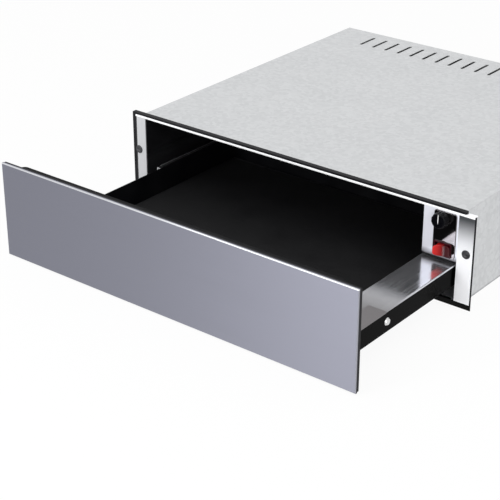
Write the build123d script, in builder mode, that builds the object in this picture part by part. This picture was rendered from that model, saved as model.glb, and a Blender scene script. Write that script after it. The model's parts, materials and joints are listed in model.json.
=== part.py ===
"""A built-in warming drawer, 60 cm wide and 14 cm high, pulled out by about 26 cm.

Millimetres, +Z up, +Y into the cabinet and +X to the right as seen from the front. The origin is the
centre of the casing's underside, where it lies on the floor of the niche.
"""
import os
from math import cos, radians, sin

from build123d import *

os.makedirs("parts", exist_ok=True)

# ---- driving dimensions ----------------------------------------------------------------------------
# Front frame and casing
FRAME_W = 594.0  # over the polished front frame
FRAME_H = 138.4
FRAME_LAP = 19.0  # frame beyond the casing on each side, over the edge of the niche
TOP_DROP = 1.0  # casing's top below the frame's
SHEET = 1.0  # thickness of the casing's sheets
BEND = 1.5  # radius of their folds
FLANGE_T = 1.5
OPENING_INSET = 6.0  # from the casing's side to the flange's inner edge
LEFT_SEAL_W = 6.0
RIGHT_SEAL_W = 2.0
SEAL_T = 1.1
SEAL_H = 3.0  # height of the top strip
SEAL_DEPTH = 7.6  # of the top strip, front to back
SEAL_END_GAP = 13.0  # from the flange's end to the end of the top strip
STRIP_H = 8.0  # black strip below the opening
RAIL_H = 3.0
FOLD_W = 12.0  # flanges that join the casing's sheets
SCREW_INSET = 11.5  # niche screws, from the frame's outer edge
SCREW_Z = 80.0
NICHE_SCREW_R = 2.0
NICHE_SCREW_HEAD_R = 6.2
NICHE_SCREW_HEAD_T = 1.2
NICHE_SCREW_L = 20.0
COUNTERSINK_R = 4.0

# Drawer
PULLED_OUT = 263.4  # face of the panel to the face of the flanges
CLOSED_GAP = 3.0  # inner frame to flanges when shut
FULL_TRAVEL = 340.0  # from shut to the end of the runners
PANEL_LAP = 1.0  # panel beyond the frame on each side
PANEL_H = 140.0
PANEL_Z = 2.0  # lower edge of the panel
SKIN_T = 1.0
SKIN_DEPTH = 3.6
BOARD_DEPTH = 7.5  # panel's face to the back of the board behind the skin
BOARD_EDGE_R = 0.6
POCKET_DEPTH = 3.5  # room in the board for the knob and the rocker
SKIN_EDGE_R = 1.4
INNER_DEPTH = 9.0  # black inner frame behind the board
INNER_INSET = 1.5  # its ends inside the flanges' inner edges
INNER_TOP_DROP = 3.0  # its top below the panel's top
INNER_Z = 16.0
INNER_WALL = 1.5
INNER_CORNER_R = 8.0
BUMPER_R = 5.0
BUMPER_INSET = 22.0  # bumpers from the panel's upper and lower edges
TRAY_LENGTH = 420.0
LEFT_SPACE = 29.0  # flange's inner edge to the tray's left side
TRAY_BOTTOM_Z = 20.0
TRAY_FOLD = 11.0
REAR_FLANGE = 9.0
LEDGE_Z = 60.0
LEDGE_SIDE_GAP = 2.0  # ledge to the right flange
LEDGE_LIP = 2.0
SIDE_WALL_Z = 28.0
MAT_T = 2.0
MAT_EDGE = 3.0
MAT_R = 6.0
BRACKET_L = 86.0  # corner bracket on the ledge, front to back
BRACKET_W = 25.5
BRACKET_T = 0.7
BRACKET_BEND = 0.4
BRACKET_UPSTAND = 5.0  # against the inner frame
SIDE_SCREW_GAP = 5.5  # behind the bracket's plate
SIDE_SCREW_HEAD_R = 5.4
SIDE_SCREW_HEAD_T = 1.8
SIDE_SCREW_R = 2.0
WALL_SCREW_R = 1.8
WALL_SCREW_HEAD_R = 3.6
WALL_SCREW_RISE = 18.0
WALL_SCREW_END = 42.0

# Cavity and the control compartment beside it
COMPARTMENT_W = 53.0
COMPARTMENT_GAP = 4.5  # ledge to the compartment's floor
REAR_GAP = 13.0  # tray's rear wall to the cavity's rear wall when shut
REAR_SPACE = 110.0  # behind the cavity, for the fan and the wiring
INSULATION_T = 3.4
INSULATION_INSET = 12.0
INTAKE_R = 38.0
GRILLE_PITCH = 10.0
GRILLE_SLOT = 5.0
OUTLET_OFFSET = 140.0
OUTLET_L = 50.0
VENT_SLOT = 5.0
VENT_L = 44.0

# Ball runners
RUNNER_L = 400.0
RUNNER_W = 12.7
RUNNER_H = 27.0
RUNNER_Z = 42.5
RUNNER_START = 6.0  # front end behind the flanges' face when shut
RUNNER_SHEET = 1.2
MIDDLE_SHEET = 1.0
RAIL_GAP = 0.8  # open edges of the rails to the tray's side
BALL_R = 1.6
BALL_PLAY = 0.1
BALL_COUNT = 5
BALL_PITCH = 30.0
BALL_U = 5.5  # middle of the balls from the tray's side
CAGE_T = 0.6
CAGE_PLAY = 0.2
CAGE_END = 8.0  # last ball to the end of the cage
LIP_W = 1.2
LIP_T = 0.6
RUNNER_BRACKET_T = 1.5
RUNNER_BRACKET_R = 2.0

# Controls
INSERT_INSET = 16.4  # from the compartment's edge
INSERT_W = 34.0
INSERT_LIFT = 2.7
INSERT_DROP = 0.5
INSERT_T = 1.5
INSERT_R = 4.0
SPIGOT_INSET = 1.0
SPIGOT_L = 3.5
KNOB_INSET = 12.9  # knob's axis from the insert's left edge
KNOB_DROP = 10.7  # and from its top
KNOB_R = 11.0
KNOB_H = 11.5  # to the front of its grip bar
KNOB_DISC_H = 6.5
KNOB_RIM = 1.6  # plain band in front of the flutes
KNOB_GRIP_W = 5.0
KNOB_GRIP_INSET = 1.2  # ends of the grip bar inside the rim
KNOB_EDGE_R = 0.8
KNOB_BORE_L = 5.0
SHAFT_R = 3.0
SHAFT_L = 25.0  # behind the flanges' face
SWITCH_INSET = 15.8  # rocker's axis from the insert's left edge
SWITCH_RISE = 11.2  # and from its bottom
BEZEL_W = 27.0
BEZEL_H = 20.4
BEZEL_T = 2.0
SWITCH_BODY_W = 24.4
SWITCH_BODY_H = 18.2
SWITCH_BODY_L = 33.5
SWITCH_WALL = 0.7
RECESS_DEPTH = 13.0
ROCKER_BASE_W = 19.6
ROCKER_W = 23.6
ROCKER_H = 16.2
ROCKER_RISE = 14.0  # from the pivot to each raised end
ROCKER_VALLEY = 10.2  # from the pivot to the middle
ROCKER_FLARE = 8.2  # from the pivot to where its ends begin to widen
ROCKER_BACK = 2.4
ROCKER_TILT = 12.0  # degrees each way from level
ROCKER_EDGE_R = 1.8
PIN_R = 1.4
PIN_L = 0.7
PIVOT_DEPTH = 5.5  # behind the bezel's face
THERMOSTAT_R = 12.5
BLADE_W = 6.3
BLADE_T = 0.8
BLADE_L = 8.0

# Fan and heating
FAN_Z = 70.0
FAN_BEHIND = 15.0  # middle of the impeller behind the cavity
FAN_R = 34.0
FAN_WIDTH = 18.0
FAN_PLATE_T = 1.5
FAN_HUB_R = 7.0
BLADE_DEPTH = 12.0
VANE_COUNT = 14
HEATER_R = 44.0
HEATER_TUBE_R = 3.25
HEATER_GAP_ANGLE = 60.0  # opening of the ring at the bottom
FAN_BRACKET_T = 1.2
FAN_BRACKET_BEHIND = 30.0  # behind the middle of the impeller
FAN_BRACKET_MARGIN = 18.0
FAN_BRACKET_FOOT = 22.0
MOTOR_R = 28.0
MOTOR_L = 34.0
MOTOR_EAR = 11.0
CUTOUT_R = 8.0
CUTOUT_H = 7.0
CUTOUT_PLATE_L = 30.0

# Push latch and electrical parts
LATCH_INSET = 116.0  # from the cavity's right side
LATCH_Z = 40.0
PLUNGER_R = 4.0
PLUNGER_TRAVEL = 4.0
PLUNGER_HELD = 20.0  # length inside the housing
LATCH_HOUSING_L = 38.0
LATCH_HOUSING_W = 18.0
LATCH_HOUSING_H = 16.0
LATCH_EAR_L = 44.0
STRIKER_T = 1.5
STRIKER_W = 24.0
TERMINAL_INSET = 33.0  # from the casing's side
TERMINAL_Z = 20.0
TERMINAL_W = 34.0
TERMINAL_D = 22.0
TERMINAL_H = 26.0
TERMINAL_STEP = 10.0
GLAND_FROM_TERMINAL = 40.0
GLAND_Z = 34.0
GLAND_BORE_R = 4.5
GLAND_R = 9.0
GLAND_FLANGE_R = 11.5
GLAND_NUT_R = 12.5
GLAND_PROUD = 5.0
GLAND_INSIDE = 14.0
LOOM_R = 3.0
LOOM_BEND = 18.0
LOOM_SIDE_GAP = 12.0
LOOM_LIFT = 7.0
BACK_SCREW_R = 1.8
BACK_SCREW_HEAD_R = 3.6
BACK_SCREW_L = 5.0
BACK_SCREW_END = 68.0
BACK_SCREW_COUNT = 4

# Clearances
RUN_FIT = 0.05  # shaft in its bore
PLUNGER_FIT = 0.06
PIN_GAP = 0.15  # screw in its hole
BODY_GAP = 0.2  # moulding in its cut-out
REST_GAP = 0.3  # parts that only just don't touch
FOLD_GAP = 0.6  # flat edge off the inside of a fold

# ---- places worked out from them --------------------------------------------------------------------
CASING_W = FRAME_W - 2 * FRAME_LAP
CASING_H = FRAME_H - TOP_DROP
CAVITY_DEPTH = TRAY_LENGTH - CLOSED_GAP + REAR_GAP
CASING_DEPTH = CAVITY_DEPTH + REAR_SPACE
HALF_W = CASING_W / 2
FRONT = -CASING_DEPTH / 2  # face of the flanges
BACK = CASING_DEPTH / 2
BODY_FRONT = FRONT + FLANGE_T
TOP_IN = CASING_H - SHEET
FRAME_HALF = FRAME_W / 2
OPENING_HALF_W = HALF_W - OPENING_INSET
LEFT_FLANGE_X = LEFT_SEAL_W - FRAME_HALF
RIGHT_FLANGE_X = FRAME_HALF - RIGHT_SEAL_W
SCREW_X = FRAME_HALF - SCREW_INSET
RAIL_TOP = FRAME_H - SEAL_H
RAIL_Z = RAIL_TOP - RAIL_H
CEILING_Z = RAIL_Z - SHEET
CAVITY_BACK = FRONT + CAVITY_DEPTH
CAVITY_LEFT = -OPENING_HALF_W
CHEEK_X = OPENING_HALF_W - COMPARTMENT_W
COMPARTMENT_Z = LEDGE_Z + COMPARTMENT_GAP
CAVITY_MID = (CAVITY_LEFT + CHEEK_X) / 2

PANEL_W = FRAME_W + 2 * PANEL_LAP
HALF_PANEL = PANEL_W / 2
PANEL_FACE = FRONT - PULLED_OUT
SKIN_BACK = PANEL_FACE + SKIN_DEPTH
BOARD_BACK = PANEL_FACE + BOARD_DEPTH
INNER_BACK = BOARD_BACK + INNER_DEPTH
INNER_HALF_W = OPENING_HALF_W - INNER_INSET
SHUT_SHIFT = FRONT - CLOSED_GAP - INNER_BACK  # how far the drawer goes in to shut
PANEL_TOP = PANEL_Z + PANEL_H
INNER_TOP = PANEL_TOP - INNER_TOP_DROP
TRAY_FRONT = INNER_BACK + SHEET
TRAY_REAR = TRAY_FRONT + TRAY_LENGTH - 2 * SHEET
TRAY_LEFT_X = LEFT_SPACE - OPENING_HALF_W
FLOOR_Z = TRAY_BOTTOM_Z + SHEET
MAT_Z = FLOOR_Z + SHEET
LEDGE_OUT_X = OPENING_HALF_W - LEDGE_SIDE_GAP
LEDGE_UNDER = LEDGE_Z - SHEET
BRACKET_BACK = INNER_BACK + BRACKET_L
SIDE_SCREW_Y = BRACKET_BACK + SIDE_SCREW_GAP
SIDE_SCREW_Z = (SIDE_WALL_Z + LEDGE_UNDER) / 2

MIDDLE_SHIFT = SHUT_SHIFT / 2
FIXED_Y = FRONT + RUNNER_START
MIDDLE_Y = FIXED_Y - MIDDLE_SHIFT
DRAWER_RAIL_Y = FIXED_Y - SHUT_SHIFT
CAGE_L = (BALL_COUNT - 1) * BALL_PITCH + 2 * CAGE_END
CAGE_MID = FIXED_Y + RUNNER_L / 2
OUTER_CAGE_Y = CAGE_MID - SHUT_SHIFT / 4 - CAGE_L / 2
INNER_CAGE_Y = CAGE_MID - SHUT_SHIFT * 3 / 4 - CAGE_L / 2
ROW_GAP = 2 * (BALL_R + BALL_PLAY)  # height of a ball row between two flanges

INSERT_LEFT_X = CHEEK_X + INSERT_INSET
INSERT_RIGHT_X = INSERT_LEFT_X + INSERT_W
INSERT_Z = COMPARTMENT_Z + INSERT_LIFT
INSERT_TOP_Z = RAIL_Z - INSERT_DROP
INSERT_FRONT = FRONT - INSERT_T
SPIGOT_BACK = FRONT + SPIGOT_L
KNOB_X = INSERT_LEFT_X + KNOB_INSET
KNOB_Z = INSERT_TOP_Z - KNOB_DROP
KNOB_BACK = INSERT_FRONT - REST_GAP
SHAFT_END = FRONT + SHAFT_L
SWITCH_X = INSERT_LEFT_X + SWITCH_INSET
SWITCH_Z = INSERT_Z + SWITCH_RISE
BEZEL_FRONT = INSERT_FRONT - BEZEL_T
PIVOT_Y = BEZEL_FRONT + PIVOT_DEPTH
SWITCH_BACK = BEZEL_FRONT + SWITCH_BODY_L

FAN_Y = CAVITY_BACK + FAN_BEHIND
LATCH_X = CHEEK_X - LATCH_INSET
TERMINAL_X = HALF_W - TERMINAL_INSET
GLAND_X = TERMINAL_X - GLAND_FROM_TERMINAL


# ---- helpers ----------------------------------------------------------------------------------------
def across(y):
    """Section plane facing the front: X to the right, Z up, and extruding runs towards the front."""
    return Plane.XZ.offset(-y)


def lengthways(x):
    """Section plane facing right: Y into the cabinet, Z up, and extruding runs to the right."""
    return Plane.YZ.offset(x)


def flat(z):
    """Plan section at a height: X to the right, Y into the cabinet, and extruding runs upwards."""
    return Plane.XY.offset(z)


def fold(*points, thickness=SHEET, bend=BEND):
    """Draw the section of a sheet folded along the points, with its metal on the left of the path."""
    with BuildLine() as outline:
        FilletPolyline(*points, radius=bend)
        offset(amount=thickness, side=Side.LEFT)
    make_face(outline.edges())


def rect(x0, x1, y0, y1, radius=0.0, mode=Mode.ADD):
    """Draw a rectangle between two corners, with rounded corners if a radius is given."""
    with Locations(((x0 + x1) / 2, (y0 + y1) / 2)):
        if radius > 0:
            RectangleRounded(x1 - x0, y1 - y0, radius, mode=mode)
        else:
            Rectangle(x1 - x0, y1 - y0, mode=mode)


def slots(centres, length, width, angle=90):
    """Draw a slot with round ends at each centre."""
    with Locations(*centres):
        SlotOverall(length, width, rotation=angle)


def spread(count, low, high):
    """Give evenly spaced places from low to high."""
    return [low + (high - low) * k / (count - 1) for k in range(count)]


def save(piece, name):
    """Label a finished piece and write it."""
    piece.label = name
    export_step(piece, f"parts/{name}.step")


# ---- casing -----------------------------------------------------------------------------------------
COVER_FRONT = FRONT + SEAL_DEPTH + FOLD_GAP  # the top sheet starts behind the black strip
BACK_SCREWS_X = spread(BACK_SCREW_COUNT, BACK_SCREW_END - HALF_W, HALF_W - BACK_SCREW_END)
BACK_FOLD = FOLD_W + 2 * SHEET
TOP_SCREW_Z = CASING_H - FOLD_W / 2
BASE_SCREW_Z = FOLD_W / 2 + SHEET

with BuildPart() as casing_base:
    with BuildSketch(lengthways(-HALF_W)):
        fold((BODY_FRONT, 0), (BACK, 0), (BACK, BACK_FOLD))
    extrude(amount=CASING_W)
    with BuildSketch(flat(0)):
        slots([(x, BACK - VENT_L) for x in spread(8, VENT_L - HALF_W, -VENT_SLOT)], VENT_L, VENT_SLOT)
    extrude(amount=SHEET, mode=Mode.SUBTRACT)
    with BuildSketch(across(BACK)):
        with Locations(*[(x, BASE_SCREW_Z) for x in BACK_SCREWS_X]):
            Circle(BACK_SCREW_R + PIN_GAP)
    extrude(amount=SHEET, mode=Mode.SUBTRACT)
save(casing_base.part, "casing_base")


def casing_side(side):
    """One side of the casing: a channel folded inwards at the foot and at the top, with vent slots."""
    path = [(HALF_W - FOLD_W, SHEET), (HALF_W, SHEET), (HALF_W, TOP_IN), (HALF_W - FOLD_W, TOP_IN)]
    if side < 0:
        path = [(-x, z) for x, z in reversed(path)]
    with BuildPart() as panel:
        with BuildSketch(across(BACK - 2 * SHEET)):
            fold(*path)
        extrude(amount=BACK - 2 * SHEET - BODY_FRONT)
        with BuildSketch(lengthways(side * HALF_W)):
            vents = [(y, TOP_IN - VENT_L) for y in spread(7, BACK - 3 * VENT_L, BACK - VENT_L)]
            slots(vents, VENT_L, VENT_SLOT)
        extrude(amount=-side * SHEET, mode=Mode.SUBTRACT)
        # notch that clears the front rail and the black strip on it
        with BuildSketch(lengthways(side * HALF_W)):
            rect(BODY_FRONT - 1, COVER_FRONT, RAIL_TOP - SHEET - REST_GAP, TOP_IN + 1)
        extrude(amount=-side * (FOLD_W + 1), mode=Mode.SUBTRACT)
    return panel.part


save(casing_side(-1), "casing_side_left")
save(casing_side(1), "casing_side_right")

with BuildPart() as casing_back:
    with BuildSketch(across(BACK - SHEET)):
        rect(-HALF_W + SHEET, HALF_W - SHEET, SHEET + FOLD_GAP, TOP_IN - FOLD_GAP)
        with Locations(*[(x, z) for x in BACK_SCREWS_X for z in (BASE_SCREW_Z, TOP_SCREW_Z)]):
            Circle(BACK_SCREW_R + PIN_GAP, mode=Mode.SUBTRACT)
        with Locations((GLAND_X, GLAND_Z)):
            Circle(GLAND_R + PIN_GAP, mode=Mode.SUBTRACT)
        with Locations((CAVITY_MID, FAN_Z)):
            with GridLocations(GRILLE_PITCH, 0, 10, 1):
                SlotOverall(VENT_L, VENT_SLOT, rotation=90, mode=Mode.SUBTRACT)
    extrude(amount=SHEET)
save(casing_back.part, "casing_back")

with BuildPart() as casing_top:
    with BuildSketch(lengthways(-HALF_W)):
        fold((BACK, CASING_H - BACK_FOLD), (BACK, CASING_H), (COVER_FRONT, CASING_H))
    extrude(amount=CASING_W)
    with BuildSketch(flat(CASING_H)):
        slots([(x, BACK - VENT_L) for x in spread(18, BACK_SCREW_END - HALF_W, HALF_W - BACK_SCREW_END)],
              VENT_L, VENT_SLOT)
    extrude(amount=-SHEET, mode=Mode.SUBTRACT)
    with BuildSketch(across(BACK)):
        with Locations(*[(x, TOP_SCREW_Z) for x in BACK_SCREWS_X]):
            Circle(BACK_SCREW_R + PIN_GAP)
    extrude(amount=SHEET, mode=Mode.SUBTRACT)
save(casing_top.part, "casing_top")

with BuildPart() as casing_screws:
    for x in BACK_SCREWS_X:
        for z in (BASE_SCREW_Z, TOP_SCREW_Z):
            with BuildSketch(across(BACK)) as shank:
                with Locations((x, z)):
                    Circle(BACK_SCREW_R)
            extrude(amount=BACK_SCREW_L)
            with BuildSketch(across(BACK)) as head:
                with Locations((x, z)):
                    Circle(BACK_SCREW_HEAD_R)
            extrude(amount=-BACK_SCREW_HEAD_R / 2, taper=12)
save(casing_screws.part, "casing_screws")

with BuildPart() as insulation_blanket:
    with BuildSketch(flat(RAIL_Z)):
        rect(CAVITY_LEFT + INSULATION_INSET, CHEEK_X - INSULATION_INSET, BODY_FRONT + 2 * INSULATION_INSET,
             CAVITY_BACK - INSULATION_INSET, radius=INSULATION_INSET / 2)
    extrude(amount=INSULATION_T)
save(insulation_blanket.part, "insulation_blanket")

# ---- polished front frame ---------------------------------------------------------------------------
TAB_OUT_X = HALF_W - SHEET  # the flanges' tabs lie inside the casing's sides
TAB_DEPTH = 12.0


def flange(side, outer_x):
    """One upright of the front frame: a flat face with a countersunk hole and a tab folded back."""
    inner_x = side * OPENING_HALF_W
    tab_x = side * (TAB_OUT_X - FLANGE_T)
    with BuildPart() as upright:
        with BuildSketch(flat(STRIP_H)):
            rect(min(inner_x, outer_x), max(inner_x, outer_x), FRONT, BODY_FRONT)
            rect(min(tab_x, side * TAB_OUT_X), max(tab_x, side * TAB_OUT_X), FRONT, BODY_FRONT + TAB_DEPTH)
        extrude(amount=RAIL_Z - STRIP_H)
        with Locations(Plane((side * SCREW_X, FRONT, SCREW_Z), x_dir=(1, 0, 0), z_dir=(0, -1, 0))):
            CounterSinkHole(NICHE_SCREW_R + PIN_GAP, COUNTERSINK_R, depth=FLANGE_T * 2)
        fillet(upright.edges().filter_by(Axis.Z).filter_by_position(Axis.X, outer_x - 0.1, outer_x + 0.1)
               .sort_by(Axis.Y)[:1], 0.8)
    return upright.part


save(flange(-1, LEFT_FLANGE_X), "flange_left")
save(flange(1, RIGHT_FLANGE_X), "flange_right")

with BuildPart() as top_rail:
    with BuildSketch(lengthways(LEFT_FLANGE_X)):
        fold((FRONT + SEAL_DEPTH, RAIL_TOP), (FRONT, RAIL_TOP), (FRONT, RAIL_Z), bend=SHEET * 1.2)
    extrude(amount=RIGHT_FLANGE_X - LEFT_FLANGE_X)
save(top_rail.part, "top_rail")

SEAL_FACE = BODY_FRONT - SEAL_T
with BuildPart() as front_seal:
    with BuildSketch(flat(RAIL_TOP)):
        rect(-FRAME_HALF, RIGHT_FLANGE_X - SEAL_END_GAP, SEAL_FACE, FRONT + SEAL_DEPTH)
    extrude(amount=SEAL_H)
    fillet(front_seal.edges().filter_by(Axis.Z).sort_by(Axis.X)[-2:], SEAL_DEPTH / 3)
    with BuildSketch(flat(STRIP_H)):
        rect(-FRAME_HALF, LEFT_FLANGE_X, SEAL_FACE, BODY_FRONT)
    extrude(amount=RAIL_TOP - STRIP_H)
    with BuildSketch(flat(STRIP_H)):
        rect(RIGHT_FLANGE_X, FRAME_HALF, SEAL_FACE, BODY_FRONT)
    extrude(amount=RAIL_TOP - STRIP_H)
save(front_seal.part, "front_seal")

with BuildPart() as bottom_strip:
    with BuildSketch(across(BODY_FRONT)):
        rect(-FRAME_HALF, FRAME_HALF, 0, STRIP_H)
    extrude(amount=FLANGE_T)
    with BuildSketch(flat(SHEET)):
        rect(-OPENING_HALF_W + FOLD_W, OPENING_HALF_W - FOLD_W, BODY_FRONT, BODY_FRONT + FOLD_W)
    extrude(amount=FLANGE_T)
    fillet(bottom_strip.edges().filter_by(Axis.X).filter_by_position(Axis.Y, FRONT - 0.1, FRONT + 0.1), 0.6)
save(bottom_strip.part, "bottom_strip")

with BuildPart() as niche_screws:
    for side in (-1, 1):
        with Locations(Plane((side * SCREW_X, FRONT, SCREW_Z), x_dir=(1, 0, 0), z_dir=(0, -1, 0))):
            Cylinder(NICHE_SCREW_R, NICHE_SCREW_L, align=(Align.CENTER, Align.CENTER, Align.MAX))
        with BuildSketch(across(FRONT)):
            with Locations((side * SCREW_X, SCREW_Z)):
                Circle(NICHE_SCREW_HEAD_R)
        extrude(amount=NICHE_SCREW_HEAD_T, taper=25)
        with BuildSketch(across(FRONT - NICHE_SCREW_HEAD_T)):
            with Locations((side * SCREW_X, SCREW_Z)):
                Rectangle(NICHE_SCREW_HEAD_R * 0.8, NICHE_SCREW_HEAD_T)
                Rectangle(NICHE_SCREW_HEAD_T, NICHE_SCREW_HEAD_R * 0.8)
        extrude(amount=-NICHE_SCREW_HEAD_T * 0.75, mode=Mode.SUBTRACT)
save(niche_screws.part, "niche_screws")

# ---- cavity -----------------------------------------------------------------------------------------
WALL_FOOT = 2 * SHEET  # the walls stand on the sides' lower flanges

with BuildPart() as cavity_wall_left:
    with BuildSketch(flat(WALL_FOOT)):
        rect(CAVITY_LEFT - SHEET, CAVITY_LEFT, BODY_FRONT, CAVITY_BACK)
    extrude(amount=CEILING_Z - WALL_FOOT)
save(cavity_wall_left.part, "cavity_wall_left")

with BuildPart() as cavity_wall_right:
    with BuildSketch(across(CAVITY_BACK)):
        fold((CHEEK_X, CEILING_Z), (CHEEK_X, COMPARTMENT_Z), (TAB_OUT_X, COMPARTMENT_Z))
    extrude(amount=CAVITY_BACK - (FRONT + SHEET))
    with BuildSketch(flat(COMPARTMENT_Z)):
        rect(OPENING_HALF_W - 0.1, TAB_OUT_X + 1, FRONT - 1, BODY_FRONT + TAB_DEPTH + 1)
    extrude(amount=SHEET, mode=Mode.SUBTRACT)
save(cavity_wall_right.part, "cavity_wall_right")

with BuildPart() as cavity_ceiling:
    with BuildSketch(flat(CEILING_Z)):
        rect(CAVITY_LEFT - SHEET, CHEEK_X + SHEET, BODY_FRONT, CAVITY_BACK + SHEET)
    extrude(amount=SHEET)
save(cavity_ceiling.part, "cavity_ceiling")

with BuildPart() as cavity_wall_back:
    with BuildSketch(across(CAVITY_BACK + SHEET)):
        rect(CAVITY_LEFT - SHEET, CHEEK_X + SHEET, WALL_FOOT, CEILING_Z)
        # intake rosette in front of the fan
        for row in range(-3, 4):
            rise = GRILLE_PITCH * row
            with Locations((CAVITY_MID, FAN_Z + rise)):
                SlotOverall(2 * (INTAKE_R**2 - rise**2) ** 0.5, GRILLE_SLOT, mode=Mode.SUBTRACT)
        # warm air outlets on both sides
        for side in (-1, 1):
            with Locations((CAVITY_MID + side * OUTLET_OFFSET, (COMPARTMENT_Z + CEILING_Z) / 2)):
                with GridLocations(GRILLE_PITCH * 1.3, 0, 7, 1):
                    SlotOverall(OUTLET_L, GRILLE_SLOT, rotation=90, mode=Mode.SUBTRACT)
        with Locations((LATCH_X, LATCH_Z)):
            Circle(PLUNGER_R + FOLD_GAP, mode=Mode.SUBTRACT)
    extrude(amount=SHEET)
save(cavity_wall_back.part, "cavity_wall_back")

# ---- controls ---------------------------------------------------------------------------------------
SWITCH_HALF_W = SWITCH_BODY_W / 2 + BODY_GAP
SWITCH_HALF_H = SWITCH_BODY_H / 2 + BODY_GAP

with BuildPart() as control_fascia:
    with BuildSketch(across(FRONT + SHEET)):
        rect(CHEEK_X, OPENING_HALF_W, COMPARTMENT_Z, RAIL_Z)
        rect(INSERT_LEFT_X + SPIGOT_INSET, INSERT_RIGHT_X - SPIGOT_INSET, INSERT_Z + SPIGOT_INSET,
             INSERT_TOP_Z - SPIGOT_INSET, radius=INSERT_R / 2, mode=Mode.SUBTRACT)
    extrude(amount=SHEET)
save(control_fascia.part, "control_fascia")

with BuildPart() as control_insert:
    with BuildSketch(across(FRONT)):
        rect(INSERT_LEFT_X, INSERT_RIGHT_X, INSERT_Z, INSERT_TOP_Z, radius=INSERT_R)
    extrude(amount=INSERT_T)
    fillet(control_insert.faces().sort_by(Axis.Y)[0].edges(), 0.6)
    with BuildSketch(across(SPIGOT_BACK)):
        inset = SPIGOT_INSET + BODY_GAP
        rect(INSERT_LEFT_X + inset, INSERT_RIGHT_X - inset, INSERT_Z + inset, INSERT_TOP_Z - inset,
             radius=INSERT_R / 2)
    extrude(amount=SPIGOT_BACK - FRONT)
    with BuildSketch(across(SPIGOT_BACK)):
        with Locations((KNOB_X, KNOB_Z)):
            Circle(SHAFT_R + 0.6)
        rect(SWITCH_X - SWITCH_HALF_W, SWITCH_X + SWITCH_HALF_W, SWITCH_Z - SWITCH_HALF_H,
             SWITCH_Z + SWITCH_HALF_H)
    extrude(amount=SPIGOT_BACK - INSERT_FRONT + 1, mode=Mode.SUBTRACT)
save(control_insert.part, "control_insert")

with BuildPart() as thermostat_knob:
    with BuildSketch(across(KNOB_BACK)):
        with Locations((KNOB_X, KNOB_Z)):
            Circle(KNOB_R)
    extrude(amount=KNOB_DISC_H, taper=3)
    fillet(thermostat_knob.faces().sort_by(Axis.Y)[0].edges(), KNOB_EDGE_R)
    with BuildSketch(across(KNOB_BACK)):
        with Locations((KNOB_X, KNOB_Z)):
            SlotOverall(2 * (KNOB_R - KNOB_GRIP_INSET), KNOB_GRIP_W, rotation=90)
    extrude(amount=KNOB_H, taper=2)
    fillet(thermostat_knob.faces().sort_by(Axis.Y)[0].edges(), KNOB_EDGE_R)
    with BuildSketch(across(KNOB_BACK)):
        with Locations((KNOB_X, KNOB_Z)):
            with PolarLocations(KNOB_R + FOLD_GAP, 12):
                Circle(2 * FOLD_GAP)
    extrude(amount=KNOB_DISC_H - KNOB_RIM, mode=Mode.SUBTRACT)
    with BuildSketch(across(KNOB_BACK)):
        with Locations((KNOB_X, KNOB_Z)):
            Circle(SHAFT_R)
    extrude(amount=KNOB_BORE_L, mode=Mode.SUBTRACT)
save(thermostat_knob.part, "thermostat_knob")

with BuildPart() as thermostat_shaft:
    with BuildSketch(across(SHAFT_END)):
        with Locations((KNOB_X, KNOB_Z)):
            Circle(SHAFT_R)
    extrude(amount=SHAFT_END - KNOB_BACK + KNOB_BORE_L)
save(thermostat_shaft.part, "thermostat_shaft")

THERMOSTAT_BACK = SHAFT_END + 2 * SHEET
THERMOSTAT_FRONT = SPIGOT_BACK + 3 * SHEET
with BuildPart() as thermostat_body:
    with BuildSketch(across(THERMOSTAT_BACK)):
        with Locations((KNOB_X, KNOB_Z)):
            Circle(THERMOSTAT_R)
    extrude(amount=THERMOSTAT_BACK - THERMOSTAT_FRONT)
    fillet(thermostat_body.faces().sort_by(Axis.Y)[-1].edges(), BEND)
    with BuildSketch(across(THERMOSTAT_FRONT)):
        with Locations((KNOB_X, KNOB_Z)):
            Circle(THERMOSTAT_R / 2)
    extrude(amount=THERMOSTAT_FRONT - SPIGOT_BACK)
    for side in (-1, 1):
        with BuildSketch(across(THERMOSTAT_BACK + BLADE_L)):
            with Locations((KNOB_X + side * BLADE_W, KNOB_Z - BLADE_W / 2)):
                Rectangle(BLADE_T, BLADE_W)
        extrude(amount=BLADE_L + SHEET)
    with BuildSketch(across(SHAFT_END + REST_GAP)):
        with Locations((KNOB_X, KNOB_Z)):
            Circle(SHAFT_R + RUN_FIT)
    extrude(amount=SHAFT_END + REST_GAP - SPIGOT_BACK + SHEET, mode=Mode.SUBTRACT)
save(thermostat_body.part, "thermostat_body")

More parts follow.
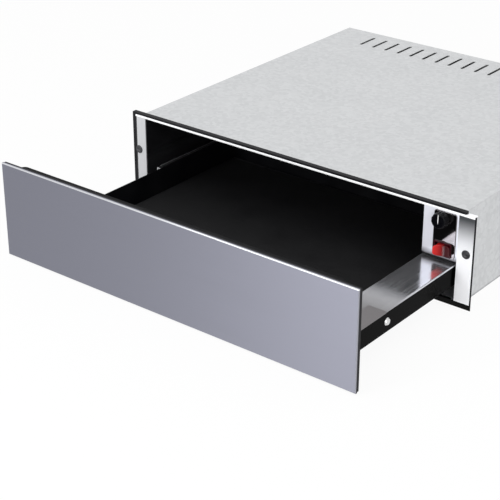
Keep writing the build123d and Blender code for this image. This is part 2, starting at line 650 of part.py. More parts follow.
RECESS_W = SWITCH_BODY_W - 2 * SWITCH_WALL
RECESS_H = ROCKER_H + 2 * REST_GAP
with BuildPart() as switch_body:
    with BuildSketch(across(INSERT_FRONT)):
        with Locations((SWITCH_X, SWITCH_Z)):
            RectangleRounded(BEZEL_W, BEZEL_H, BEND)
    extrude(amount=BEZEL_T)
    fillet(switch_body.faces().sort_by(Axis.Y)[0].edges(), BEZEL_T / 3)
    with BuildSketch(across(SWITCH_BACK)):
        with Locations((SWITCH_X, SWITCH_Z)):
            Rectangle(SWITCH_BODY_W, SWITCH_BODY_H)
    extrude(amount=SWITCH_BACK - INSERT_FRONT)
    with BuildSketch(across(BEZEL_FRONT)):
        with Locations((SWITCH_X, SWITCH_Z)):
            Rectangle(RECESS_W, RECESS_H)
    extrude(amount=-RECESS_DEPTH, mode=Mode.SUBTRACT)
    with Locations((SWITCH_X, PIVOT_Y, SWITCH_Z)):
        Cylinder(PIN_R + RUN_FIT, ROCKER_H + 2 * (PIN_L + RUN_FIT), mode=Mode.SUBTRACT)
    for k in (-1, 0, 1):
        with BuildSketch(across(SWITCH_BACK + BLADE_L)):
            with Locations((SWITCH_X + SWITCH_BODY_W / 3 * k, SWITCH_Z)):
                Rectangle(BLADE_T, BLADE_W)
        extrude(amount=BLADE_L + SHEET)
save(switch_body.part, "switch_body")

ROCKER_PLANE = Plane((SWITCH_X, PIVOT_Y, SWITCH_Z - ROCKER_H / 2), x_dir=(1, 0, 0), z_dir=(0, 0, 1))
with BuildPart() as switch_rocker:
    with BuildSketch(ROCKER_PLANE.rotated((0, 0, ROCKER_TILT))):
        with BuildLine():
            left_end = (-ROCKER_W / 2, -ROCKER_RISE)
            right_end = (ROCKER_W / 2, -ROCKER_RISE)
            ThreePointArc(left_end, (0, -ROCKER_VALLEY), right_end)
            Polyline(right_end, (ROCKER_BASE_W / 2, -ROCKER_FLARE), (ROCKER_BASE_W / 2, ROCKER_BACK),
                     (-ROCKER_BASE_W / 2, ROCKER_BACK), (-ROCKER_BASE_W / 2, -ROCKER_FLARE), left_end)
        make_face()
    extrude(amount=ROCKER_H)
    pivot = Vertex(SWITCH_X, PIVOT_Y, SWITCH_Z)
    upright = switch_rocker.edges().filter_by(Axis.Z)
    raised_corners = upright.filter_by(lambda edge: edge.distance_to(pivot) > ROCKER_RISE)
    fillet(raised_corners, ROCKER_EDGE_R)
    with Locations((SWITCH_X, PIVOT_Y, SWITCH_Z)):
        Cylinder(PIN_R, ROCKER_H + 2 * PIN_L)
save(switch_rocker.part, "switch_rocker")

# ---- fan, heating and electrical parts --------------------------------------------------------------
IMPELLER_FRONT = FAN_Y - FAN_WIDTH / 2
IMPELLER_BACK = FAN_Y + FAN_WIDTH / 2
FAN_BRACKET_Y = FAN_Y + FAN_BRACKET_BEHIND
BRACKET_REAR = FAN_BRACKET_Y + FAN_BRACKET_T
MOTOR_BACK = BRACKET_REAR + MOTOR_L
FOOT_Z = SHEET + FAN_BRACKET_T
BRACKET_HALF_W = HEATER_R + FAN_BRACKET_MARGIN

with BuildPart() as fan_bracket:
    with BuildSketch(lengthways(CAVITY_MID - BRACKET_HALF_W)):
        fold((FAN_BRACKET_Y + FAN_BRACKET_FOOT, FOOT_Z), (BRACKET_REAR, FOOT_Z), (BRACKET_REAR, CEILING_Z),
             thickness=-FAN_BRACKET_T)
    extrude(amount=2 * BRACKET_HALF_W)
    with BuildSketch(across(BRACKET_REAR + SHEET)):
        with Locations((CAVITY_MID, FAN_Z)):
            Circle(FAN_HUB_R + 2 * SHEET)
        for side in (-1, 1):
            with Locations((CAVITY_MID + side * HEATER_R * sin(radians(HEATER_GAP_ANGLE / 2)),
                            FAN_Z - HEATER_R * cos(radians(HEATER_GAP_ANGLE / 2)))):
                Circle(HEATER_TUBE_R + PIN_GAP)
    extrude(amount=FAN_BRACKET_T + 2 * SHEET, mode=Mode.SUBTRACT)
save(fan_bracket.part, "fan_bracket")

with BuildPart() as fan_motor:
    with BuildSketch(across(MOTOR_BACK)):
        with Locations((CAVITY_MID, FAN_Z)):
            Circle(MOTOR_R)
    extrude(amount=MOTOR_L)
    fillet(fan_motor.edges().filter_by(GeomType.CIRCLE), BEND)
    for side in (-1, 1):
        with BuildSketch(across(BRACKET_REAR + BEND)):
            with Locations((CAVITY_MID + side * MOTOR_R, FAN_Z)):
                SlotOverall(2 * MOTOR_EAR, MOTOR_EAR)
        extrude(amount=BEND)
    with BuildSketch(across(MOTOR_BACK)):
        with Locations((CAVITY_MID, FAN_Z)):
            Circle(SHAFT_R + RUN_FIT)
    extrude(amount=MOTOR_L + SHEET, mode=Mode.SUBTRACT)
save(fan_motor.part, "fan_motor")

with BuildSketch() as blade:
    with BuildLine():
        ThreePointArc((FAN_R - BLADE_DEPTH, -BLADE_DEPTH / 4), (FAN_R - BLADE_DEPTH / 2, BLADE_DEPTH / 10),
                      (FAN_R - REST_GAP, BLADE_DEPTH / 5))
        offset(amount=SHEET, side=Side.LEFT)
    make_face()

with BuildPart() as fan_rotor:
    hub_plane = across(IMPELLER_BACK)
    with BuildSketch(hub_plane):
        with Locations((CAVITY_MID, FAN_Z)):
            Circle(FAN_R)
    extrude(amount=FAN_PLATE_T)
    with BuildSketch(hub_plane):
        with Locations((CAVITY_MID, FAN_Z)):
            Circle(FAN_HUB_R)
    extrude(amount=FAN_WIDTH * 0.6, taper=5)
    with BuildSketch(hub_plane):
        with Locations((CAVITY_MID, FAN_Z)):
            with PolarLocations(0, VANE_COUNT):
                add(blade.sketch)
    extrude(amount=FAN_WIDTH)
    with BuildSketch(across(IMPELLER_FRONT + FAN_PLATE_T)):
        with Locations((CAVITY_MID, FAN_Z)):
            Circle(FAN_R)
            Circle(FAN_R - BLADE_DEPTH / 2, mode=Mode.SUBTRACT)
    extrude(amount=FAN_PLATE_T)
    with BuildSketch(across(MOTOR_BACK - SHEET)):
        with Locations((CAVITY_MID, FAN_Z)):
            Circle(SHAFT_R)
    extrude(amount=MOTOR_BACK - SHEET - IMPELLER_BACK)
save(fan_rotor.part, "fan_rotor")

with BuildPart() as heating_element:
    ring_start = -90 + HEATER_GAP_ANGLE / 2
    outwards = Vector(cos(radians(ring_start)), 0, sin(radians(ring_start)))
    tangent = outwards.cross(Vector(0, 1, 0))
    with BuildSketch(Plane((CAVITY_MID, FAN_Y, FAN_Z), x_dir=outwards, z_dir=tangent)):
        with Locations((HEATER_R, 0)):
            Circle(HEATER_TUBE_R)
    revolve(axis=Axis((CAVITY_MID, FAN_Y, FAN_Z), (0, -1, 0)), revolution_arc=360 - HEATER_GAP_ANGLE)
    for angle in (ring_start, ring_start - HEATER_GAP_ANGLE):
        end_x = CAVITY_MID + HEATER_R * cos(radians(angle))
        end_z = FAN_Z + HEATER_R * sin(radians(angle))
        with Locations((end_x, FAN_Y, end_z)):
            Sphere(HEATER_TUBE_R)
        with BuildSketch(across(BRACKET_REAR + MOTOR_EAR)):
            with Locations((end_x, end_z)):
                Circle(HEATER_TUBE_R)
        extrude(amount=BRACKET_REAR + MOTOR_EAR - FAN_Y)
save(heating_element.part, "heating_element")

with BuildPart() as safety_cutout:
    cutout_place = (CAVITY_MID + MOTOR_R + CUTOUT_R * 1.5, FAN_Z + MOTOR_R + CUTOUT_R)
    with BuildSketch(across(BRACKET_REAR + BEND)):
        with Locations(cutout_place):
            SlotOverall(CUTOUT_PLATE_L, CUTOUT_R * 1.2)
    extrude(amount=BEND)
    with BuildSketch(across(BRACKET_REAR + BEND + CUTOUT_H)):
        with Locations(cutout_place):
            Circle(CUTOUT_R)
    extrude(amount=CUTOUT_H)
save(safety_cutout.part, "safety_cutout")

TERMINAL_BACK = BACK - 2 * SHEET
TERMINAL_FRONT = TERMINAL_BACK - TERMINAL_D
TERMINAL_TOP = TERMINAL_Z + TERMINAL_H
TERMINAL_LEDGE_Z = TERMINAL_TOP - TERMINAL_STEP
with BuildPart() as terminal_block:
    with BuildSketch(lengthways(TERMINAL_X - TERMINAL_W / 2)):
        rect(TERMINAL_FRONT, TERMINAL_BACK, TERMINAL_Z, TERMINAL_LEDGE_Z)
        rect(TERMINAL_BACK - TERMINAL_STEP, TERMINAL_BACK, TERMINAL_Z, TERMINAL_TOP)
    extrude(amount=TERMINAL_W)
    with BuildSketch(flat(TERMINAL_LEDGE_Z)):
        with Locations((TERMINAL_X, TERMINAL_FRONT + TERMINAL_STEP / 2)):
            with GridLocations(TERMINAL_STEP, 0, 3, 1):
                Circle(TERMINAL_STEP / 4)
    extrude(amount=-TERMINAL_STEP / 2, mode=Mode.SUBTRACT)
save(terminal_block.part, "terminal_block")

with BuildPart() as cable_gland:
    with BuildSketch(Plane((GLAND_X, 0, GLAND_Z), x_dir=(1, 0, 0), z_dir=(0, 0, 1))):
        with BuildLine():
            Polyline((GLAND_BORE_R, BACK - GLAND_INSIDE), (GLAND_R, BACK - GLAND_INSIDE), (GLAND_R, BACK),
                     (GLAND_FLANGE_R, BACK), (GLAND_FLANGE_R, BACK + GLAND_PROUD / 2),
                     (GLAND_R, BACK + GLAND_PROUD), (GLAND_BORE_R, BACK + GLAND_PROUD), close=True)
        make_face()
    revolve(axis=Axis((GLAND_X, 0, GLAND_Z), (0, 1, 0)))
    with BuildSketch(across(BACK - 2 * SHEET)):
        with Locations((GLAND_X, GLAND_Z)):
            RegularPolygon(GLAND_NUT_R, 6)
            Circle(GLAND_R - PIN_GAP, mode=Mode.SUBTRACT)
    extrude(amount=GLAND_PROUD)
save(cable_gland.part, "cable_gland")

LOOM_X = OPENING_HALF_W - LOOM_SIDE_GAP
LOOM_Z = COMPARTMENT_Z + SHEET + LOOM_LIFT
LOOM_START = (SWITCH_X, SWITCH_BACK + BLADE_L + REST_GAP, SWITCH_Z)
LOOM_END = (TERMINAL_X, TERMINAL_FRONT - REST_GAP, (TERMINAL_Z + TERMINAL_LEDGE_Z) / 2)
with BuildPart() as wiring_loom:
    with BuildLine() as loom_route:
        FilletPolyline(
            LOOM_START, (SWITCH_X, LOOM_START[1] + 1.5 * LOOM_BEND, SWITCH_Z),
            (LOOM_X, LOOM_START[1] + 4 * LOOM_BEND, LOOM_Z), (LOOM_X, CAVITY_BACK, LOOM_Z),
            (TERMINAL_X, CAVITY_BACK + 2.5 * LOOM_BEND, LOOM_END[2]), LOOM_END, radius=LOOM_BEND)
    with BuildSketch(Plane(LOOM_START, z_dir=(0, 1, 0))):
        Circle(LOOM_R)
    sweep()
save(wiring_loom.part, "wiring_loom")

# ---- push latch -------------------------------------------------------------------------------------
PLUNGER_TIP = TRAY_REAR + SHEET + STRIKER_T + SHUT_SHIFT + REST_GAP
PLUNGER_END = CAVITY_BACK + PLUNGER_HELD
LATCH_FACE = CAVITY_BACK + SHEET
BORE_END = PLUNGER_END + PLUNGER_TRAVEL + SHEET
with BuildPart() as latch_housing:
    with BuildSketch(across(LATCH_FACE + LATCH_HOUSING_L)):
        with Locations((LATCH_X, LATCH_Z)):
            RectangleRounded(LATCH_HOUSING_W, LATCH_HOUSING_H, BEND)
    extrude(amount=LATCH_HOUSING_L)
    with BuildSketch(across(LATCH_FACE + BEND)):
        with Locations((LATCH_X, LATCH_Z)):
            SlotOverall(LATCH_EAR_L, LATCH_HOUSING_H * 0.75)
    extrude(amount=BEND)
    with BuildSketch(across(BORE_END)):
        with Locations((LATCH_X, LATCH_Z)):
            Circle(PLUNGER_R + PLUNGER_FIT)
    extrude(amount=BORE_END - CAVITY_BACK, mode=Mode.SUBTRACT)
save(latch_housing.part, "latch_housing")

with BuildPart() as latch_plunger:
    with BuildSketch(across(PLUNGER_END)):
        with Locations((LATCH_X, LATCH_Z)):
            Circle(PLUNGER_R)
    extrude(amount=PLUNGER_END - PLUNGER_TIP)
    fillet(latch_plunger.faces().sort_by(Axis.Y)[0].edges(), PLUNGER_R / 4)
save(latch_plunger.part, "latch_plunger")

# ---- runners ----------------------------------------------------------------------------------------
SIDES = {"left": (-1, TRAY_LEFT_X), "right": (1, CHEEK_X)}
ROW_OUTER = RUNNER_H / 2 - RUNNER_SHEET - ROW_GAP / 2  # height of the outer ball rows from the middle
MIDDLE_OUT = RUNNER_H / 2 - RUNNER_SHEET - ROW_GAP
MIDDLE_IN = MIDDLE_OUT - MIDDLE_SHEET
ROW_INNER = MIDDLE_IN - ROW_GAP / 2
DRAWER_OUT = MIDDLE_IN - ROW_GAP
MIDDLE_WEB = RUNNER_W - RUNNER_SHEET - 3 * CAGE_PLAY - CAGE_T
DRAWER_EDGE = MIDDLE_WEB - MIDDLE_SHEET - 3 * CAGE_PLAY - CAGE_T


def rail_section(side, face_x, far_u, near_u, half_height, thickness, lip=0.0):
    """Draw a channel: its web ends at far_u from the tray's face and its flanges reach near_u."""
    web_in = far_u - thickness if far_u > near_u else far_u + thickness
    for a, b, c, d in (
        (far_u, web_in, -half_height, half_height),
        (far_u, near_u, half_height - thickness, half_height),
        (far_u, near_u, -half_height, thickness - half_height),
    ):
        rect(min(face_x + side * a, face_x + side * b), max(face_x + side * a, face_x + side * b),
             RUNNER_Z + c, RUNNER_Z + d)
    if lip > 0:
        for sign in (-1, 1):
            z0 = RUNNER_Z + sign * (half_height - thickness)
            x0 = face_x + side * near_u
            x1 = x0 + side * LIP_W
            rect(min(x0, x1), max(x0, x1), min(z0, z0 - sign * lip), max(z0, z0 - sign * lip))


def runner_rail(side, face_x, y, far_u, near_u, half_height, thickness, lip=0.0):
    """One member of a runner, with round holes along its web."""
    with BuildPart() as rail:
        with BuildSketch(across(y + RUNNER_L)):
            rail_section(side, face_x, far_u, near_u, half_height, thickness, lip)
        extrude(amount=RUNNER_L)
        with BuildSketch(lengthways(face_x + side * (far_u if far_u > near_u else far_u + thickness))):
            with Locations(*[(y + RUNNER_L * share, RUNNER_Z) for share in (0.08, 0.36, 0.64, 0.92)]):
                Circle(2 * RUNNER_SHEET)
        extrude(amount=-side * thickness, mode=Mode.SUBTRACT)
    return rail.part


for word, (side, face_x) in SIDES.items():
    save(runner_rail(side, face_x, FIXED_Y, RUNNER_W, RAIL_GAP, RUNNER_H / 2, RUNNER_SHEET, LIP_T),
         f"runner_fixed_{word}")
    save(runner_rail(side, face_x, MIDDLE_Y, MIDDLE_WEB, RAIL_GAP, MIDDLE_OUT, MIDDLE_SHEET, LIP_T),
         f"runner_middle_{word}")
    save(runner_rail(side, face_x, DRAWER_RAIL_Y, 0, DRAWER_EDGE, DRAWER_OUT, RUNNER_SHEET),
         f"runner_drawer_{word}")


def ball_cages(y, row, web_end):
    """The ball strips between two members on both sides, each a folded strip with its loose balls."""
    with BuildPart() as cages:
        for side, face_x in SIDES.values():
            far_x = face_x + side * web_end
            near_x = face_x + side * (BALL_U - BALL_R - SHEET)
            with BuildSketch(across(y + CAGE_L)):
                for sign in (-1, 1):
                    z_mid = RUNNER_Z + sign * row
                    rect(min(far_x, near_x), max(far_x, near_x), z_mid - CAGE_T / 2, z_mid + CAGE_T / 2)
                rect(min(far_x, far_x - side * CAGE_T), max(far_x, far_x - side * CAGE_T),
                     RUNNER_Z - row, RUNNER_Z + row)
            extrude(amount=CAGE_L)
        ball_places = [
            (face_x + side * BALL_U, y + CAGE_END + BALL_PITCH * k, RUNNER_Z + sign * row)
            for side, face_x in SIDES.values() for k in range(BALL_COUNT) for sign in (-1, 1)
        ]
        with Locations(*ball_places):
            Cylinder(BALL_R + BALL_PLAY, 3 * CAGE_T, mode=Mode.SUBTRACT)
        with Locations(*ball_places):
            Sphere(BALL_R)
    return cages.part


save(ball_cages(OUTER_CAGE_Y, ROW_OUTER, MIDDLE_WEB + CAGE_PLAY + CAGE_T), "ball_cages_outer")
save(ball_cages(INNER_CAGE_Y, ROW_INNER, MIDDLE_WEB - MIDDLE_SHEET - CAGE_PLAY), "ball_cages_inner")

BRACKET_FRONT = BODY_FRONT + BACK_FOLD
BRACKET_END = FIXED_Y + RUNNER_L + 4 * SHEET
BRACKET_TOP = RUNNER_Z + RUNNER_H / 2
RIGHT_BRACKET_X = CHEEK_X + RUNNER_W
LEFT_BRACKET_X = TRAY_LEFT_X - RUNNER_W
BRACKET_OUT_X = HALF_W - FOLD_W - SHEET  # clear of the lower flange of the casing's side
with BuildPart() as runner_bracket_right:
    with BuildSketch(across(BRACKET_END)):
        fold((RIGHT_BRACKET_X, BRACKET_TOP), (RIGHT_BRACKET_X, SHEET), (BRACKET_OUT_X, SHEET),
             (BRACKET_OUT_X, TRAY_BOTTOM_Z + 2 * SHEET), thickness=RUNNER_BRACKET_T, bend=RUNNER_BRACKET_R)
    extrude(amount=BRACKET_END - BRACKET_FRONT)
    with BuildSketch(lengthways(BRACKET_OUT_X)):
        slots([(BRACKET_FRONT + FOLD_W * (1 + 2 * k), TRAY_BOTTOM_Z * 0.7) for k in range(4)], 1.5 * FOLD_W,
              VENT_SLOT, angle=0)
    extrude(amount=-RUNNER_BRACKET_T, mode=Mode.SUBTRACT)
save(runner_bracket_right.part, "runner_bracket_right")

with BuildPart() as runner_bracket_left:
    with BuildSketch(across(BRACKET_END)):
        fold((FOLD_W + FOLD_GAP - HALF_W, SHEET), (LEFT_BRACKET_X, SHEET), (LEFT_BRACKET_X, BRACKET_TOP),
             thickness=RUNNER_BRACKET_T, bend=RUNNER_BRACKET_R)
    extrude(amount=BRACKET_END - BRACKET_FRONT)
save(runner_bracket_left.part, "runner_bracket_left")

# ---- drawer front -----------------------------------------------------------------------------------
with BuildPart() as front_skin:
    with BuildSketch(across(SKIN_BACK)):
        rect(-HALF_PANEL, HALF_PANEL, PANEL_Z, PANEL_TOP)
    extrude(amount=SKIN_DEPTH)
    fillet(front_skin.faces().sort_by(Axis.Y)[0].edges(), SKIN_EDGE_R)
    with BuildSketch(across(SKIN_BACK)):
        rect(SKIN_T - HALF_PANEL, HALF_PANEL - SKIN_T, PANEL_Z + SKIN_T, PANEL_TOP - SKIN_T)
    extrude(amount=SKIN_DEPTH - SKIN_T, mode=Mode.SUBTRACT)
save(front_skin.part, "front_skin")

WINDOW_LEFT = KNOB_X - KNOB_R - 3 * SHEET
WINDOW_RIGHT = INNER_HALF_W - 2 * SHEET
WINDOW_Z = COMPARTMENT_Z + BEND
WINDOW_TOP = INNER_TOP - 4 * INNER_WALL
END_BLOCK_X = INNER_HALF_W - INNER_CORNER_R


def cut_window(back, depth):
    """Cut the opening that the knob and the rocker enter when the drawer is shut."""
    with BuildSketch(across(back)) as window:
        rect(WINDOW_LEFT, WINDOW_RIGHT, WINDOW_Z, WINDOW_TOP)
    extrude(window.sketch, amount=depth, mode=Mode.SUBTRACT)


with BuildPart() as front_backing:
    with BuildSketch(across(BOARD_BACK)):
        rect(SKIN_T - HALF_PANEL, HALF_PANEL - SKIN_T, PANEL_Z + SKIN_T, PANEL_TOP - SKIN_T)
    extrude(amount=BOARD_DEPTH - SKIN_T)
    fillet(front_backing.faces().sort_by(Axis.Y)[-1].edges(), BOARD_EDGE_R)
    cut_window(BOARD_BACK, POCKET_DEPTH)
save(front_backing.part, "front_backing")

with BuildPart() as front_inner_frame:
    with BuildSketch(flat(INNER_Z)):
        rect(-INNER_HALF_W, INNER_HALF_W, BOARD_BACK, INNER_BACK)
    extrude(amount=INNER_TOP - INNER_Z)
    fillet(front_inner_frame.edges().filter_by(Axis.Z).group_by(Axis.Y)[-1], INNER_CORNER_R)
    with BuildSketch(across(INNER_BACK)):
        rect(-END_BLOCK_X, END_BLOCK_X, INNER_Z + INNER_WALL, INNER_TOP - INNER_WALL)
    extrude(amount=INNER_DEPTH, mode=Mode.SUBTRACT)
    cut_window(INNER_BACK, INNER_DEPTH)
save(front_inner_frame.part, "front_inner_frame")

with BuildPart() as front_inner_plate:
    with BuildSketch(across(INNER_BACK)):
        rect(-END_BLOCK_X, END_BLOCK_X, INNER_Z + INNER_WALL, INNER_TOP - INNER_WALL)
    extrude(amount=INNER_WALL)
    cut_window(INNER_BACK, INNER_WALL)
save(front_inner_plate.part, "front_inner_plate")

BUMPER_X = (INNER_HALF_W + HALF_PANEL) / 2
BUMPER_L = INNER_DEPTH + CLOSED_GAP - REST_GAP
with BuildPart() as front_bumpers:
    with BuildSketch(across(BOARD_BACK + BUMPER_L)):
        with Locations(*[(x, z) for x in (-BUMPER_X, BUMPER_X)
                         for z in (PANEL_Z + BUMPER_INSET, PANEL_TOP - BUMPER_INSET)]):
            Circle(BUMPER_R)
    extrude(amount=BUMPER_L)
    fillet(front_bumpers.faces().group_by(Axis.Y)[-1].edges(), BUMPER_R / 3)
save(front_bumpers.part, "front_bumpers")

# ---- tray -------------------------------------------------------------------------------------------
with BuildPart() as tray_side_left:
    with BuildSketch(across(TRAY_REAR)):
        fold((TRAY_LEFT_X, LEDGE_Z), (TRAY_LEFT_X, TRAY_BOTTOM_Z), (TRAY_LEFT_X + TRAY_FOLD, TRAY_BOTTOM_Z))
    extrude(amount=TRAY_REAR - TRAY_FRONT)
save(tray_side_left.part, "tray_side_left")

with BuildPart() as tray_side_right:
    with BuildSketch(across(TRAY_REAR)):
        fold((CHEEK_X - TRAY_FOLD, TRAY_BOTTOM_Z), (CHEEK_X, TRAY_BOTTOM_Z), (CHEEK_X, LEDGE_UNDER))
    extrude(amount=TRAY_REAR - TRAY_FRONT)
save(tray_side_right.part, "tray_side_right")

TRAY_IN_LEFT = TRAY_LEFT_X + SHEET + FOLD_GAP
TRAY_IN_RIGHT = CHEEK_X - SHEET - FOLD_GAP
with BuildPart() as tray_floor:
    with BuildSketch(flat(FLOOR_Z)):
        rect(TRAY_IN_LEFT, TRAY_IN_RIGHT, TRAY_FRONT, TRAY_REAR)
    extrude(amount=SHEET)
save(tray_floor.part, "tray_floor")

with BuildPart() as nonslip_mat:
    with BuildSketch(flat(MAT_Z)):
        rect(TRAY_IN_LEFT + MAT_EDGE, TRAY_IN_RIGHT - MAT_EDGE, TRAY_FRONT + MAT_EDGE, TRAY_REAR - MAT_EDGE,
             radius=MAT_R)
    extrude(amount=MAT_T)
    fillet(nonslip_mat.faces().sort_by(Axis.Z)[-1].edges(), MAT_T * 0.4)
save(nonslip_mat.part, "nonslip_mat")

WALL_SCREWS = [(x, TRAY_BOTTOM_Z + WALL_SCREW_RISE)
               for x in spread(4, TRAY_LEFT_X + WALL_SCREW_END, CHEEK_X - WALL_SCREW_END)]
with BuildPart() as tray_front_wall:
    with BuildSketch(across(TRAY_FRONT)):
        rect(TRAY_LEFT_X, CHEEK_X, TRAY_BOTTOM_Z, LEDGE_UNDER)
        with Locations(*WALL_SCREWS):
            Circle(WALL_SCREW_R + PIN_GAP, mode=Mode.SUBTRACT)
    extrude(amount=SHEET)
save(tray_front_wall.part, "tray_front_wall")

with BuildPart() as tray_rear_wall:
    with BuildSketch(lengthways(TRAY_LEFT_X)):
        fold((TRAY_REAR + SHEET, TRAY_BOTTOM_Z), (TRAY_REAR + SHEET, LEDGE_UNDER),
             (TRAY_REAR + REAR_FLANGE, LEDGE_UNDER))
    extrude(amount=CHEEK_X - TRAY_LEFT_X)
save(tray_rear_wall.part, "tray_rear_wall")

with BuildPart() as side_ledge:
    with BuildSketch(across(TRAY_REAR)):
        fold((CHEEK_X - SHEET, LEDGE_UNDER), (LEDGE_OUT_X - SHEET, LEDGE_UNDER),
             (LEDGE_OUT_X - SHEET, LEDGE_Z - LEDGE_LIP), bend=0.4)
    extrude(amount=TRAY_REAR - INNER_BACK)
save(side_ledge.part, "side_ledge")

SIDE_WALL_OUT = LEDGE_OUT_X - SHEET
with BuildPart() as side_wall:
    with BuildSketch(across(TRAY_REAR)):
        fold((SIDE_WALL_OUT - REAR_FLANGE, SIDE_WALL_Z), (SIDE_WALL_OUT, SIDE_WALL_Z),
             (SIDE_WALL_OUT, LEDGE_UNDER - FOLD_GAP))
    extrude(amount=TRAY_REAR - INNER_BACK)
    with BuildSketch(lengthways(SIDE_WALL_OUT)):
        with Locations((SIDE_SCREW_Y, SIDE_SCREW_Z)):
            Circle(SIDE_SCREW_R + PIN_GAP)
    extrude(amount=-SHEET, mode=Mode.SUBTRACT)
save(side_wall.part, "side_wall")

with BuildPart() as corner_bracket:
    with BuildSketch(lengthways(LEDGE_OUT_X - BRACKET_W)):
        fold((INNER_BACK, LEDGE_Z + BRACKET_UPSTAND), (INNER_BACK, LEDGE_Z), (BRACKET_BACK, LEDGE_Z),
             thickness=BRACKET_T, bend=BRACKET_BEND)
    extrude(amount=BRACKET_W)
    with BuildSketch(across(BRACKET_BACK)):
        rect(LEDGE_OUT_X, LEDGE_OUT_X + BRACKET_T, LEDGE_Z - LEDGE_LIP, LEDGE_Z + BRACKET_T)
    extrude(amount=BRACKET_L)
save(corner_bracket.part, "corner_bracket")

with BuildPart() as drawer_screws:
    with BuildSketch(lengthways(SIDE_WALL_OUT)):
        with Locations((SIDE_SCREW_Y, SIDE_SCREW_Z)):
            Circle(SIDE_SCREW_HEAD_R)
    extrude(amount=SIDE_SCREW_HEAD_T, taper=35)
    with BuildSketch(lengthways(SIDE_WALL_OUT)):
        with Locations((SIDE_SCREW_Y, SIDE_SCREW_Z)):
            Circle(SIDE_SCREW_R)
    extrude(amount=-4 * SIDE_SCREW_R)
    for x, z in WALL_SCREWS:
        with BuildSketch(across(TRAY_FRONT)):
            with Locations((x, z)):
                Circle(WALL_SCREW_HEAD_R)
        extrude(amount=-WALL_SCREW_HEAD_R / 2, taper=12)
        with BuildSketch(across(TRAY_FRONT)):
            with Locations((x, z)):
                Circle(WALL_SCREW_R)
        extrude(amount=SHEET)
save(drawer_screws.part, "drawer_screws")

with BuildPart() as latch_striker:
    with BuildSketch(across(TRAY_REAR + SHEET + STRIKER_T)):
        with Locations((LATCH_X, LATCH_Z)):
            RectangleRounded(STRIKER_W, STRIKER_W * 2 / 3, STRIKER_W / 8)
    extrude(amount=STRIKER_T)
save(latch_striker.part, "latch_striker")

print("drawer shuts by", round(SHUT_SHIFT, 2), "mm and opens by", round(FULL_TRAVEL - SHUT_SHIFT, 2), "mm")
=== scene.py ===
"""Looks of the warming drawer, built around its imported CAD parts. Metres, in the part's own frame."""
import json

import bpy
import numpy as np
from mathutils import Matrix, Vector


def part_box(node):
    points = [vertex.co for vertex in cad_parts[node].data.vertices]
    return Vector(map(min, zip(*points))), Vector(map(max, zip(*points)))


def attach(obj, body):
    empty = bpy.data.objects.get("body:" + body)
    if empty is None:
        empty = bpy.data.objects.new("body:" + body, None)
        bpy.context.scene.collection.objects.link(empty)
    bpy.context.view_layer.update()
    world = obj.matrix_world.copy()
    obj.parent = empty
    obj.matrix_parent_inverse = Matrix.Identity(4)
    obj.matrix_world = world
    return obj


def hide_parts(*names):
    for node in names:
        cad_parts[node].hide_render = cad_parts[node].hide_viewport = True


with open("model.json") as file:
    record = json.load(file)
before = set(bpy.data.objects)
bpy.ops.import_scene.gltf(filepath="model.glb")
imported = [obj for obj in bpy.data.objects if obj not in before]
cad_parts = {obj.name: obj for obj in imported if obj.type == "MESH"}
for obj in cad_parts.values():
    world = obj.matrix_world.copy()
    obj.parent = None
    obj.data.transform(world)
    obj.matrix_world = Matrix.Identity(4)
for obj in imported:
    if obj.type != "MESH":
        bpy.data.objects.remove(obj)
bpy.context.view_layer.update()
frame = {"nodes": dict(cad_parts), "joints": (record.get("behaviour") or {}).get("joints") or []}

# ---- galvanised casing ------------------------------------------------------------------------------
# The casing's five sheets are folded from galvanised steel and screwed together at the back. The fan's
# and the runners' brackets and the latch's striker are cut from the same sheet. The zinc is a cool
# grey with faint crystals and a soft, slightly cloudy shine.
ZINC_DARK, ZINC_PALE = (0.58, 0.59, 0.60), (0.65, 0.66, 0.67)
CRYSTALS_PER_METRE = 190.0
# The Mix node's colour sockets have names that other sockets share, so they are told by number.
MIX_MASK, MIX_LOW, MIX_HIGH, MIXED = 0, 6, 7, 2


def add_node(tree, kind, inputs, **settings):
    """Add a node. Each input takes the value given for it, or a link from the output given for it."""
    node = tree.nodes.new(kind)
    for label, value in settings.items():
        setattr(node, label, value)
    for label, value in inputs.items():
        if isinstance(value, bpy.types.NodeSocket):
            tree.links.new(value, node.inputs[label])
        else:
            node.inputs[label].default_value = value
    return node


def shader_of(material):
    """The material's one Principled shader."""
    return material.node_tree.nodes["Principled BSDF"]


def new_material(name, colour, metallic, roughness, specular=0.5, ior=1.5):
    """Material with one Principled shader that has these constants on its sockets."""
    material = bpy.data.materials.new(name)
    material.use_nodes = True
    constants = {"Base Color": (*colour, 1.0), "Metallic": metallic, "Roughness": roughness,
                 "Specular IOR Level": specular, "IOR": ior}
    for label, value in constants.items():
        shader_of(material).inputs[label].default_value = value
    return material


def new_group(name, inputs, outputs):
    """Empty shader node group with the given sockets; returns its tree and its two end nodes."""
    group = bpy.data.node_groups.new(name, "ShaderNodeTree")
    for label, kind in inputs:
        group.interface.new_socket(label, in_out="INPUT", socket_type=kind)
    for label, kind in outputs:
        group.interface.new_socket(label, in_out="OUTPUT", socket_type=kind)
    return group, group.nodes.new("NodeGroupInput"), group.nodes.new("NodeGroupOutput")


def place_group(material, group, values, stretch=(1, 1, 1)):
    """Put a group in a material on stretched Object coordinates, with its own input values."""
    tree = material.node_tree
    place = add_node(tree, "ShaderNodeTexCoord", {})
    mapping = add_node(tree, "ShaderNodeMapping", {"Vector": place.outputs["Object"], "Scale": stretch})
    return add_node(tree, "ShaderNodeGroup", {"Vector": mapping.outputs["Vector"], **values}, node_tree=group)


def stretched(tree, value, low, high):
    """Spread the part of a value between low and high over 0 to 1."""
    ends = add_node(tree, "ShaderNodeMapRange", {"Value": value, "From Min": low, "From Max": high})
    return ends.outputs["Result"]


